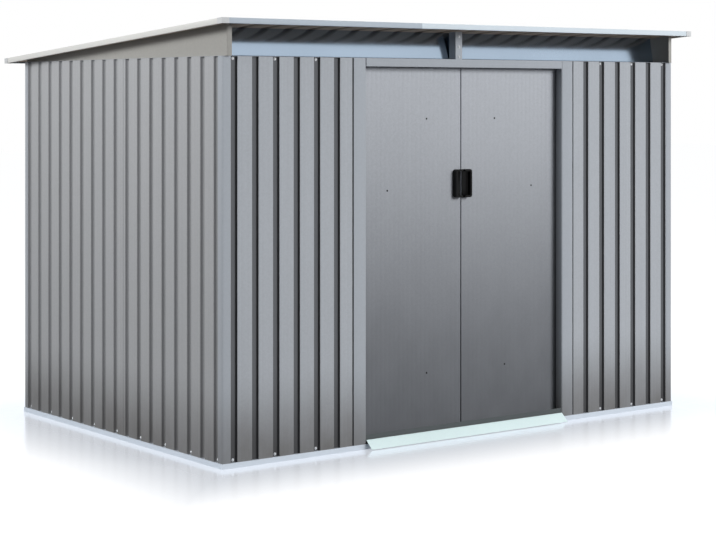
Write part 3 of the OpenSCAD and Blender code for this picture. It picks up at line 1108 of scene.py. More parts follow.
@dataclass(frozen=True)
class Corners:
    """The folded steel of the walls' corners and of the doorway: angles, jambs, head and sill.

    Attributes:
        plan: Plan of the walls.
        palette: The finishes.
        thickness: Thickness of the steel.
        angle_bend: Rounding of a corner angle.
        jamb_bend: Rounding of a jamb's bends.
        jamb_leg: Width of a jamb's back leg.
        jamb_shade: Depth behind the front at which the painted shade on a jamb's return is darkest.
        head_bend: Rounding of the head's bend.
        tread_bend: Rounding of the sill's bends.
        tread_edge: Depth behind the front at which the painted shade on the sill's tread is darkest.
        toe: Height of the ramp's front edge.
        foot_bend: Rounding of the sill's foot.
        foot_depth: Depth of the sill's foot behind the front.
    """

    plan: WallPlan
    palette: Palette
    thickness: float = 0.001
    angle_bend: float = 0.008
    jamb_bend: float = 0.007
    jamb_leg: float = 0.025
    jamb_shade: float = 0.012
    head_bend: float = 0.003
    tread_bend: float = 0.002
    tread_edge: float = 0.003
    toe: float = 0.003
    foot_bend: float = 0.001
    foot_depth: float = 0.006

    def fold(
        self, node: str, path: Sequence[Point], side: Side, bend: float, shade: float = 0.0
    ) -> None:
        """Folds an upright piece that stands for a solid.

        Args:
            node: The solid.
            path: Its outer face in plan, in a wall's frame.
            side: The wall.
            bend: Rounding of its bends.
            shade: Depth behind the wall's face at which its painted shade is darkest, if it has any.
        """
        low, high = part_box(node)
        piece = draw_sheet(f"{node}_fold", path, high.z - low.z)
        fold_and_thicken(piece, bend, self.thickness)
        if shade > 0.0:
            # Painted shade, darker the deeper behind the wall's face
            mark_recesses(piece, lambda vertex: vertex.co.y / shade)
        settle(piece, self.plan.along(side) @ Matrix.Translation((0.0, 0.0, low.z)))
        self.palette.dress(piece, Finish.FRAME_STEEL)
        install(piece, node)

    def build_angles(self) -> None:
        """Folds the four corner angles, each in the frame that starts at its corner."""
        starts = {
            "front_left_corner": Side.FRONT,
            "front_right_corner": Side.RIGHT,
            "back_right_corner": Side.BACK,
            "back_left_corner": Side.LEFT,
        }
        for node, side in starts.items():
            low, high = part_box(node)
            legs = high - low
            along, across = (legs.x, legs.y) if side.runs_along_x else (legs.y, legs.x)
            self.fold(node, [(0.0, across), (0.0, 0.0), (along, 0.0)], side, self.angle_bend)

    def build_jambs(self) -> None:
        """Folds the two jambs: face, return and back leg."""
        length = self.plan.length(Side.FRONT)
        low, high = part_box("left_jamb")
        outer = low.x - self.plan.low.x
        inner = high.x - self.plan.low.x
        depth = high.y - low.y
        path = [(outer, 0.0), (inner, 0.0), (inner, depth), (inner - self.jamb_leg, depth)]
        self.fold("left_jamb", path, Side.FRONT, self.jamb_bend, self.jamb_shade)
        mirrored = [(length - x, y) for x, y in reversed(path)]
        self.fold("right_jamb", mirrored, Side.FRONT, self.jamb_bend, self.jamb_shade)

    def build_head(self) -> None:
        """Folds the strip over the doorway."""
        low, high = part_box("door_head")
        path = [(low.y, high.z), (low.y, low.z), (high.y, low.z)]
        head = lay_fold("door_head_fold", path, (low.x, high.x), self.head_bend, self.thickness)
        self.palette.dress(head, Finish.FRAME_STEEL)
        install(head, "door_head")

    def build_sill(self) -> None:
        """Folds the sill: foot, back leg, tread and ramp, with painted shade on the tread and the
        foot.
        """
        front = self.plan.low.y
        low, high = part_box("door_sill")
        _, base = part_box("base_front")
        span = (low.x, high.x)
        path = [(high.y, low.z), (high.y, high.z), (front, high.z), (low.y, self.toe)]
        tread = lay_fold("door_sill_fold", path, span, self.tread_bend, self.thickness)
        # Painted shade on the tread behind the ramp's edge
        mark_recesses(tread, lambda vertex: (vertex.co.y - front) / self.tread_edge)
        foot_y = front + self.foot_depth
        foot_path = [(foot_y, high.z - self.thickness), (foot_y, base.z)]
        foot = lay_fold("sill_foot", foot_path, span, self.foot_bend, self.thickness)
        # Painted shade all over the foot, under the tread
        mark_recesses(foot, lambda vertex: 1.0)
        sill = join("door_sill_fold", [tread, foot])
        self.palette.dress(sill, Finish.SILL_STEEL)
        install(sill, "door_sill")

    def build(self) -> None:
        """Builds the corner angles, the jambs, the head and the sill."""
        self.build_angles()
        self.build_jambs()
        self.build_head()
        self.build_sill()


# Roof


@dataclass(frozen=True)
class RoofPlan:
    """The roof's slope, with a frame whose zero is the trims' underside.

    Attributes:
        reach: Half of the roof's width and half of its depth.
        wall_top: Height of the wall tops.
        front_rise: Height of the front trim's underside above the wall tops.
        back_drop: Drop of the back trim's underside below them.
        trim_h: Height of the trims.
        pan: Height of the pans' underside above the trims' underside.
    """

    reach: Point
    wall_top: float
    front_rise: float = 0.131
    back_drop: float = 0.006
    trim_h: float = 0.024
    pan: float = 0.0078

    @classmethod
    def from_frame(cls) -> "RoofPlan":
        """Reads the roof's reach from its corner caps and the walls' height from a top rail.

        Returns:
            The plan.
        """
        low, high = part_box("roof_corner_caps")
        _, rail_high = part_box("left_top_rail")
        return cls(((high.x - low.x) / 2, (high.y - low.y) / 2), rail_high.z)

    @property
    def pitch(self) -> float:
        """Angle of the slope."""
        return math.atan2(self.front_rise + self.back_drop, 2 * self.reach[1])

    @property
    def place(self) -> Matrix:
        """Gives the frame along the slope.

        Returns:
            The frame, from the middle of the roof.
        """
        shift = -self.trim_h * math.sin(self.pitch) / 2
        middle = self.wall_top + (self.front_rise - self.back_drop) / 2
        return Matrix.Translation((0.0, shift, middle)) @ Matrix.Rotation(-self.pitch, 4, "X")

    @property
    def half_length(self) -> float:
        """Half of the roof's length along the slope."""
        return (self.reach[1] - self.trim_h * math.sin(self.pitch) / 2) / math.cos(self.pitch)

    def pan_height(self, y: float) -> float:
        """Gives the height of the pans' underside at a place along Y."""
        on_slope = self.place @ Vector((0.0, 0.0, self.pan))
        return on_slope.z - (y - on_slope.y) * math.tan(self.pitch)


@dataclass(frozen=True)
class RoofSection:
    """Section of the roof sheets: broad pans between upright ribs.

    Attributes:
        span: Distance between the first and the last rib.
        count: Number of spaces between the ribs.
        foot: Width of a rib at its foot.
        top: Width of a rib at its top.
        height: Height of a rib.
        hook: Lip that hooks over a neighbour's rib.
        thickness: Thickness of the sheet.
        bend: Rounding of its bends.
    """

    span: float = 2.762
    count: int = 23
    foot: float = 0.042
    top: float = 0.022
    height: float = 0.014
    hook: float = 0.006
    thickness: float = 0.0006
    bend: float = 0.003

    @property
    def lap(self) -> int:
        """Index of the rib where the left sheet and the middle one lap, a third of the way across."""
        return round(self.count / 3)

    def middle(self, index: int) -> float:
        """Gives the place of a rib."""
        return self.span * (index / self.count - 0.5)

    def flank(self, index: int, way: float) -> list[Point]:
        """Gives one flank of a rib.

        Args:
            index: Which rib.
            way: -1 for its left flank and 1 for its right one.

        Returns:
            The points, from left to right.
        """
        x = self.middle(index)
        points = [(x + way * self.top / 2, self.height), (x + way * self.foot / 2, 0.0)]
        return points if way > 0.0 else points[::-1]

    def ribs(self, first: int, last: int) -> list[Point]:
        """Gives the ribs from one to another.

        Args:
            first: Index of the first rib.
            last: Index of the last rib.

        Returns:
            The points, from left to right.
        """
        points = []
        for index in range(first, last + 1):
            points += self.flank(index, -1.0) + self.flank(index, 1.0)
        return points

    def left_sheet(self) -> list[Point]:
        """Gives the left sheet, from the roof's edge to the rib of its lap.

        Returns:
            The points, from left to right.
        """
        edge = (self.middle(0), self.height)
        end = (self.middle(self.lap) + self.top / 2, self.height)
        between = [*self.flank(0, 1.0), *self.ribs(1, self.lap - 1), *self.flank(self.lap, -1.0)]
        return [edge, *between, end]

    def middle_sheet(self) -> list[Point]:
        """Gives the middle sheet, with both edges hooked over the outer sheets' ribs.

        Returns:
            The points, from left to right.
        """
        rise = self.height + self.thickness
        slope = math.atan2(self.height, (self.foot - self.top) / 2)
        nest = self.thickness * math.tan(slope / 2)
        x = self.middle(self.lap)
        over = self.top / 2 + nest
        lapped = [
            (x - over - self.hook / math.tan(slope), rise - self.hook),
            (x - over, rise),
            (x + over, rise),
            (x + self.foot / 2 + nest, 0.0),
        ]
        mirrored = [(-px, py) for px, py in reversed(lapped)]
        return [*lapped, *self.ribs(self.lap + 1, self.count - self.lap - 1), *mirrored]


@dataclass(frozen=True)
class Roof:
    """The roof sheets, their trims, and the folded pieces between the walls and the roof.

    Attributes:
        plan: Plan of the walls.
        slope: Plan of the roof.
        palette: The finishes.
        section: Section of the roof sheets.
        thickness: Thickness of the folded steel.
        sheet_inset: Distance of the sheets' ends from the roof's edge.
        trim_inset: Distance of the trims' faces from the roof's edge.
        cap_w: Distance of the trims' ends from the roof's edge, for the corner caps.
        trim_flange: Width of a trim's upper flange.
        trim_lip: Width of a trim's lower lip.
        trim_bend: Rounding of a trim's bends.
        beam_lean: Angle that the beam's face leans back by, in degrees.
        beam_depth: Depth of the beam's foot behind the front.
        beam_clear: Height of the beam's foot over the wall tops.
        beam_flange: Depth of the beam's flanges.
        post_bend: Rounding of the bends of the beam and the post.
        gable_bend: Rounding of a gable plate's bend.
    """

    plan: WallPlan
    slope: RoofPlan
    palette: Palette
    section: RoofSection = RoofSection()
    thickness: float = 0.001
    sheet_inset: float = 0.004
    trim_inset: float = 0.0015
    cap_w: float = 0.036
    trim_flange: float = 0.030
    trim_lip: float = 0.012
    trim_bend: float = 0.002
    beam_lean: float = 9.5
    beam_depth: float = 0.113
    beam_clear: float = 0.0025
    beam_flange: float = 0.040
    post_bend: float = 0.003
    gable_bend: float = 0.006

    def put(self, piece: bpy.types.Object, node: str, finish: Finish) -> None:
        """Dresses a piece and puts it in place of its solid."""
        self.palette.dress(piece, finish)
        install(piece, node)

    def hollow(self, vertex: bpy.types.MeshVertex) -> float:
        """Gives the painted shade of a vertex of a roof sheet's underside, by how deep it lies in a
        rib.
        """
        return vertex.co.y / self.section.height if vertex.normal.y < 0.0 else 0.0

    def build_sheets(self) -> None:
        """Rolls the three roof sheets, with painted shade marked in the ribs as seen from below."""
        left = self.section.left_sheet()
        paths = {
            "roof_sheet_left": left,
            "roof_sheet_middle": self.section.middle_sheet(),
            "roof_sheet_right": [(-x, z) for x, z in reversed(left)],
        }
        half = self.slope.half_length - self.sheet_inset
        lie = Matrix.Translation((0.0, half, self.slope.pan)) @ Matrix.Rotation(math.pi / 2, 4, "X")
        for node, path in paths.items():
            sheet = draw_sheet(f"{node}_rolled", path, 2 * half)
            fold_and_thicken(sheet, self.section.bend, self.section.thickness)
            # Painted shade in the rib hollows of the underside
            mark_recesses(sheet, self.hollow)
            settle(sheet, self.slope.place @ lie)
            self.put(sheet, node, Finish.ROOF_SHEET)

    def build_trims(self) -> None:
        """Folds the channels around the roof's edges, the front one in two lengths."""
        height = self.slope.trim_h
        side = self.slope.reach[0] - self.trim_inset
        end = self.slope.half_length - self.trim_inset
        half_x = self.slope.reach[0] - self.cap_w
        half_y = self.slope.half_length - self.cap_w
        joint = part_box("front_trim_left")[1].x
        path = [(self.trim_flange, height), (0.0, height), (0.0, 0.0), (self.trim_lip, 0.0)]
        runs = (
            # The front trim's left length takes the darker copy of the bright trim, as painted shade
            ("front_trim_left", Finish.SHADED_TRIM, 0.0, (0.0, -end), (-half_x, joint)),
            ("front_trim_right", Finish.BRIGHT_TRIM, 0.0, (0.0, -end), (joint, half_x)),
            ("right_trim", Finish.SIDE_TRIM, 90.0, (side, 0.0), (-half_y, half_y)),
            ("back_trim", Finish.BRIGHT_TRIM, 180.0, (0.0, end), (-half_x, half_x)),
            ("left_trim", Finish.SIDE_TRIM, -90.0, (-side, 0.0), (-half_y, half_y)),
        )
        for node, finish, turn, (x, y), span in runs:
            trim = lay_fold(f"{node}_fold", path, span, self.trim_bend, self.thickness)
            along = Matrix.Translation((x, y, 0.0)) @ Matrix.Rotation(math.radians(turn), 4, "Z")
            settle(trim, self.slope.place @ along)
            self.put(trim, node, finish)

    def build_beam(self) -> None:
        """Folds the beam behind the post, whose face leans back up to the roof pans."""
        lean = math.tan(math.radians(self.beam_lean))
        foot_y = self.plan.low.y + self.beam_depth
        foot_z = self.slope.wall_top + self.beam_clear
        gap = self.slope.pan_height(foot_y) - foot_z
        head = foot_y + gap / (1.0 + lean * math.tan(self.slope.pitch)) * lean
        path = [(y, self.slope.pan_height(y)) for y in (head + self.beam_flange, head)]
        path += [(foot_y, foot_z), (foot_y + self.beam_flange, foot_z)]
        low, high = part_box("front_roof_beam")
        span = (low.x, high.x)
        beam = lay_fold("front_roof_beam_fold", path, span, self.post_bend, self.thickness)
        self.put(beam, "front_roof_beam", Finish.BAND_STEEL)

    def trim_head(self, piece: bpy.types.Object) -> None:
        """Cuts an upright piece off at the roof pans' underside.

        Args:
            piece: The piece, in its place.
        """
        upright = Vector((0.0, math.tan(self.slope.pitch), 1.0))
        edit(piece)
        bpy.ops.mesh.select_all(action="SELECT")
        bpy.ops.mesh.bisect(
            plane_co=(0.0, 0.0, self.slope.pan_height(0.0)),
            plane_no=upright.normalized(),
            clear_outer=True,
        )
        close_edit()

    def fold_upright(self, node: str, path: Sequence[Point], bend: float) -> bpy.types.Object:
        """Folds an upright piece whose head meets the roof pans.

        Args:
            node: The solid that it stands for.
            path: Its outer face in plan.
            bend: Rounding of its bends.

        Returns:
            The piece, in its place.
        """
        low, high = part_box(node)
        piece = draw_sheet(f"{node}_fold", path, high.z - low.z)
        settle(piece, Matrix.Translation((0.0, 0.0, low.z)))
        self.trim_head(piece)
        fold_and_thicken(piece, bend, self.thickness)
        settle(piece, Matrix.Identity(4))
        return piece

    def build_post(self) -> None:
        """Folds the open-backed post over the middle of the doorway."""
        low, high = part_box("centre_post")
        path = [(low.x, high.y), (low.x, low.y), (high.x, low.y), (high.x, high.y)]
        post = self.fold_upright("centre_post", path, self.post_bend)
        self.put(post, "centre_post", Finish.FRAME_STEEL)

    def build_gables(self) -> None:
        """Folds the two gable plates, each with a flange round its front edge."""
        for hand in Hand:
            node = f"{hand.value}_gable_plate"
            low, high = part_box(node)
            face, flange_end = (low.x, high.x) if hand is Hand.LEFT else (high.x, low.x)
            path = [(face, high.y), (face, low.y), (flange_end, low.y)]
            if hand is Hand.RIGHT:
                path.reverse()
            plate = self.fold_upright(node, path, self.gable_bend)
            self.put(plate, node, Finish.GABLE_STEEL)

    def build(self) -> None:
        """Builds the roof and the pieces under it."""
        self.build_sheets()
        self.build_trims()
        self.build_beam()
        self.build_post()
        self.build_gables()


# Doors


@dataclass(frozen=True)
class Door:
    """One sliding door: a finely ribbed leaf with folded edges, and its handle.

    Attributes:
        hand: Which half of the doorway it closes.
        palette: The finishes.
        ribs: Number of fine ribs across the leaf.
        rib_w: Width of a fine rib's groove.
        rib_depth: Depth of a fine rib's groove.
        hem: Fold at the back of the leaf's edges.
        thickness: Thickness of the sheet.
        bend: Rounding of the leaf's edges.
        wall: Wall of the handle's finger pocket.
        corner: Radius of the handle's outer corners.
        soft: Rounding of the handle's moulded edges.
        pocket_soft: Rounding of the finger pocket's inner edges.
        plate: Thickness of the plate behind the handle.
        plate_lap: How far that plate reaches under the handle.
    """

    hand: Hand
    palette: Palette
    ribs: int = 24
    rib_w: float = 0.010
    rib_depth: float = 0.0003
    hem: float = 0.015
    thickness: float = 0.0006
    bend: float = 0.0025
    wall: float = 0.009
    corner: float = 0.011
    soft: float = 0.0016
    pocket_soft: float = 0.003
    plate: float = 0.002
    plate_lap: float = 0.004

    @property
    def body(self) -> str:
        """Name of the body that the door's pieces ride on."""
        return f"{self.hand.value}_door"

    def roll_face(self, name: str, size: Vector) -> bpy.types.Object:
        """Rolls the ribbed face and folds its upright edges back.

        Args:
            name: Name of the sheet.
            size: Size of the leaf.

        Returns:
            The sheet, with its lower left corner at the origin.
        """
        width, depth, height = size
        pitch = width / self.ribs
        half = self.rib_w / 2
        rib = [
            (0.0, 0.0),
            (pitch / 2 - half, 0.0),
            (pitch / 2 - half / 2, self.rib_depth),
            (pitch / 2 + half / 2, self.rib_depth),
            (pitch / 2 + half, 0.0),
            (pitch, 0.0),
        ]
        face = draw_sheet(name, rib, height)
        repeat_along_x(face, self.ribs, pitch)
        for x, inward in ((0.0, 1.0), (width, -1.0)):
            edit(face)
            pick_vertices(
                face, lambda place: abs(place.x - x) < SAME_PLACE and place.y < SAME_PLACE
            )
            extrude_along([(x, 0.0), (x, depth), (x + inward * self.hem, depth)])
            close_edit()
        fold_and_thicken(face, self.bend, self.thickness)
        return face

    def build_leaf(self) -> None:
        """Rolls the leaf's face and closes its head and foot."""
        node = f"{self.body}_leaf"
        low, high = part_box(node)
        width, depth, height = high - low
        face = self.roll_face(f"{node}_sheet", high - low)
        settle(face, Matrix.Translation(low))
        pieces = [face]
        gap = self.bend + self.thickness
        for level, inward in ((0.0, 1.0), (height, -1.0)):
            path = [(gap, level), (depth - gap, level), (depth - gap, level + inward * self.hem)]
            if inward < 0.0:
                path.reverse()
            edge = lay_fold("edge", path, (gap, width - gap), self.thickness, self.thickness)
            settle(edge, Matrix.Translation(low))
            pieces.append(edge)
        leaf = join(f"{node}_sheet", pieces)
        self.palette.dress(leaf, Finish.DOOR_SHEET)
        install(leaf, node, self.body)

    def build_handle(self) -> None:
        """Moulds the cup handle: a block with two round corners, hollowed from the leaf's edge."""
        node = f"{self.body}_handle"
        low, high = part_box(node)
        outer_x = low.x if self.hand is Hand.LEFT else high.x
        handle = add_block((low + high) / 2, high - low)
        edit(handle)
        bpy.ops.mesh.select_mode(type="EDGE")
        mesh = bmesh.from_edit_mesh(handle.data)
        for edge in mesh.edges:
            a, b = (vertex.co for vertex in edge.verts)
            on_outer = abs(a.x - outer_x) < SAME_PLACE and abs(b.x - outer_x) < SAME_PLACE
            edge.select_set(on_outer and abs(a.z - b.z) < SAME_PLACE)
        bmesh.update_edit_mesh(handle.data)
        bpy.ops.mesh.bevel(offset=self.corner, segments=6, affect="EDGES")
        close_edit()
        pocket = self.pocket_tool(low, high)
        apply_modifier(handle, "BOOLEAN", operation="DIFFERENCE", object=pocket, solver="EXACT")
        bpy.data.objects.remove(pocket)
        soften(handle, self.soft, sharpness=50.0)
        settle(handle, Matrix.Identity(4))
        handle = join(f"{node}_cup", [handle, self.backing(low, high)])
        self.palette.dress(handle, Finish.HANDLE_PLASTIC)
        install(handle, node, self.body)

    def pocket_tool(self, low: Vector, high: Vector) -> bpy.types.Object:
        """Makes the block that hollows a handle, with rounded edges.

        Args:
            low: Lowest corner of the handle.
            high: Highest corner of the handle.

        Returns:
            The block.
        """
        way = 1.0 if self.hand is Hand.LEFT else -1.0
        back = self.wall / 3
        size = high - low
        hollow = Vector((size.x, size.y, size.z - 2 * self.wall))
        block = add_block((low + high) / 2 + Vector((way * self.wall, -back, 0.0)), hollow)
        apply_modifier(block, "BEVEL", width=self.pocket_soft, segments=3, limit_method="NONE")
        return block

    def backing(self, low: Vector, high: Vector) -> bpy.types.Object:
        """Makes the thin plate that runs on from a handle's foot to the edge of its leaf.

        Args:
            low: Lowest corner of the handle.
            high: Highest corner of the handle.

        Returns:
            The plate.
        """
        leaf_low, leaf_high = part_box(f"{self.body}_leaf")
        inset = self.bend / 2
        start, end = high.x - self.plate_lap, leaf_high.x - inset
        if self.hand is Hand.RIGHT:
            start, end = leaf_low.x + inset, low.x + self.plate_lap
        size = Vector((end - start, self.plate, high.z - low.z - 2 * self.soft))
        middle = Vector(((start + end) / 2, high.y - self.plate / 2, (low.z + high.z) / 2))
        plate = add_block(middle, size)
        apply_modifier(plate, "BEVEL", width=self.plate / 4, segments=2, limit_method="NONE")
        return plate

    def build(self) -> None:
        """Builds the leaf and the handle."""
        self.build_leaf()
        self.build_handle()


# Screws


@dataclass(frozen=True)
class Screw:
    """A washer-head screw.

    Attributes:
        washer_r: Radius of the washer.
        head_r: Radius of the head.
        rise: Height of the head over the washer.
        washer_t: Thickness of the washer.
        shoulder: Share of the rise up to the head's shoulder.
        crown: Share of the head's radius that its crown is set in by.
        sides: Number of its sides.
    """

    washer_r: float = 0.0065
    head_r: float = 0.0045
    rise: float = 0.0032
    washer_t: float = 0.001
    shoulder: float = 0.6
    crown: float = 0.3
    sides: int = 12

    def model(self) -> bpy.types.Object:
        """Models the screw at the origin, with its head along Z.

        Returns:
            The screw.
        """
        shoulder = self.rise * self.shoulder
        bpy.ops.object.select_all(action="DESELECT")
        bpy.ops.mesh.primitive_cylinder_add(
            vertices=self.sides,
            radius=self.washer_r,
            depth=self.washer_t,
            location=(0.0, 0.0, self.washer_t / 2),
        )
        screw = bpy.context.active_object
        bpy.ops.object.transform_apply(location=True, rotation=True, scale=True)
        edit(screw)
        pick_vertices(screw, lambda place: place.z > self.washer_t / 2)
        bpy.ops.mesh.inset(thickness=self.washer_r - self.head_r)
        bpy.ops.mesh.extrude_region_move(TRANSFORM_OT_translate={"value": (0.0, 0.0, shoulder)})
        bpy.ops.mesh.inset(thickness=self.head_r * self.crown)
        bpy.ops.transform.translate(value=(0.0, 0.0, self.rise * (1.0 - self.shoulder)))
        close_edit()
        return screw

    def drive(self, name: str, places: Sequence[Matrix]) -> bpy.types.Object:
        """Copies the screw to its places and joins the copies.

        Args:
            name: Name of the joined screws.
            places: A place for each screw, with Z out of the sheet.

        Returns:
            The screws, as one object.
        """
        model = self.model()
        copies = []
        for place in places:
            select_only(model)
            bpy.ops.object.duplicate(linked=False)
            copy = bpy.context.active_object
            settle(copy, place)
            copies.append(copy)
        bpy.data.objects.remove(model)
        return join(name, copies)


# Places of the rivets along the front and in height
RIVET_SPOTS: dict[Hand, Sequence[Point]] = {
    Hand.LEFT: ((-0.202, 1.437), (-0.427, 1.119), (-0.202, 0.292)),
    Hand.RIGHT: ((0.204, 1.437), (0.433, 1.119), (0.266, 0.292)),
}


@dataclass(frozen=True)
class Screws:
    """The screws in the grooves of the walls, the bolts of the post and the rivets of the doors.

    Attributes:
        plan: Plan of the walls.
        palette: The finishes.
        section: Section of the wall sheets.
        screw: A screw of a wall or a bolt of the post.
        rivet: A rivet of a door.
        rivet_seat: Depth that a rivet's washer is sunk by.
        foot_margin: Distance of the lower screws from the sheets' lower edge.
        top_margin: Distance of the upper screws from the sheets' upper edge.
        front_grooves: Number of grooves in a front panel.
        step: Number of grooves from one screw to the next.
        bolt_heights: Heights of the post's bolts.
    """

    plan: WallPlan
    palette: Palette
    section: SheetSection = SheetSection()
    screw: Screw = Screw()
    rivet: Screw = Screw(washer_r=0.0045, head_r=0.003, rise=0.0012)
    rivet_seat: float = 0.0008
    foot_margin: float = 0.010
    top_margin: float = 0.009
    front_grooves: int = 6
    step: int = 2
    bolt_heights: tuple[float, ...] = (1.7175, 1.763, 1.8105)

    @property
    def foot(self) -> float:
        """Height of the lower screws."""
        return self.plan.foot + self.foot_margin

    @property
    def top(self) -> float:
        """Height of the upper screws."""
        return self.plan.top - self.top_margin

    @property
    def out(self) -> Matrix:
        """Turns a screw's head from up to forwards."""
        return Matrix.Rotation(math.radians(90.0), 4, "X")

    def on_wall(self, side: Side, x: float, z: float) -> Matrix:
        """Gives a screw's place on a groove's floor, with its head out of the wall."""
        return self.plan.along(side) @ Matrix.Translation((x, self.section.floor, z)) @ self.out

    def add_steel(self, name: str, places: Sequence[Matrix]) -> None:
        """Drives a group of steel screws into the shell.

        Args:
            name: Name of the group.
            places: A place for each screw.
        """
        screws = self.screw.drive(name, places)
        self.palette.dress(screws, Finish.SCREW_STEEL)
        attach(screws, "shell")
        log.info("%s: %d screws", name, len(places))

    def build_front(self) -> None:
        """Drives the screws of the front panels, at head and foot."""
        length = self.plan.length(Side.FRONT)
        places = []
        for index in range(0, self.front_grooves, self.step):
            x = self.plan.first_groove + index * self.plan.front_pitch
            for along in (x, length - x):
                places += [self.on_wall(Side.FRONT, along, z) for z in (self.foot, self.top)]
        self.add_steel("front_screws", places)

    def build_walls(self) -> None:
        """Drives the screws of the side walls, at the foot, and of the back wall, at both ends."""
        for side in (Side.LEFT, Side.RIGHT, Side.BACK):
            count, pitch = self.plan.grooves(side)
            heights = (self.foot, self.top) if side is Side.BACK else (self.foot,)
            places = [
                self.on_wall(side, (index + 0.5) * pitch, z)
                for index in range(0, count, self.step)
                for z in heights
            ]
            self.add_steel(f"{side.value}_screws", places)

    def build_bolts(self) -> None:
        """Drives the bolts of the post."""
        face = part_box("centre_post")[0].y
        places = [Matrix.Translation((0.0, face, z)) @ self.out for z in self.bolt_heights]
        self.add_steel("post_bolts", places)

    def build_rivets(self) -> None:
        """Sets the rivets of the doors, which ride on their leaves."""
        for hand, spots in RIVET_SPOTS.items():
            body = f"{hand.value}_door"
            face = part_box(f"{body}_leaf")[0].y + self.rivet_seat
            places = [Matrix.Translation((x, face, z)) @ self.out for x, z in spots]
            rivets = self.rivet.drive(f"{body}_rivets", places)
            self.palette.dress(rivets, Finish.HANDLE_PLASTIC)
            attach(rivets, body)
            log.info("%s: %d rivets", rivets.name, len(places))

    def build(self) -> None:
        """Drives the screws of every wall, the post's bolts and the doors' rivets."""
        self.build_front()
        self.build_walls()
        self.build_bolts()
        self.build_rivets()


# Pieces that keep their solid's shape


KEPT_NODES: dict[Finish, Sequence[str]] = {
    Finish.BRIGHT_TRIM: ("roof_purlin", "mid_rails", "upper_track"),
    Finish.BASE_STEEL: ("base_front", "base_back", "base_left", "base_right", "lower_track"),
    Finish.FRAME_STEEL: ("front_top_rail", "left_top_rail", "right_top_rail", "back_top_rail"),
    Finish.CAP_PLASTIC: ("roof_corner_caps",),
    Finish.SLIDER_NYLON: ("left_door_sliders", "right_door_sliders"),
}


def dress_kept_nodes(palette: Palette) -> None:
    """Puts the finishes on the solids that keep their shape.

    Args:
        palette: The finishes.
    """
    for finish, nodes in KEPT_NODES.items():
        for node in nodes:
            palette.dress(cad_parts[node], finish)
            log.info("%s: kept, %s", node, finish.value.name)


# Studio


def seen_rays(tree: bpy.types.NodeTree) -> bpy.types.NodeSocket:
    """Tells the rays that show the background from those that only light the shed.

    Args:
        tree: The nodes of a material or of the world.

    Returns:
        1 for rays that come straight, mirrored or through glass, and 0 for the others.
    """
    path = tree.nodes.new("ShaderNodeLightPath")
    total = path.outputs["Is Camera Ray"]
    for name in ("Is Glossy Ray", "Is Transmission Ray"):
        either = tree.nodes.new("ShaderNodeMath")
        either.operation = "MAXIMUM"
        tree.links.new(total, either.inputs[0])
        tree.links.new(path.outputs[name], either.inputs[1])
        total = either.outputs[0]
    return total


def mix_shaders(
    tree: bpy.types.NodeTree,
    amount: bpy.types.NodeSocket,
    first: bpy.types.Node,
    second: bpy.types.Node,
) -> bpy.types.Node:
    """Mixes two shaders.

    Args:
        tree: The nodes of a material or of the world.
        amount: Share of the second shader.
        first: The first shader.
        second: The second shader.

    Returns:
        The mixed shader.
    """
    mixed = tree.nodes.new("ShaderNodeMixShader")
    tree.links.new(amount, mixed.inputs[0])
    tree.links.new(first.outputs[0], mixed.inputs[1])
    tree.links.new(second.outputs[0], mixed.inputs[2])
    return mixed


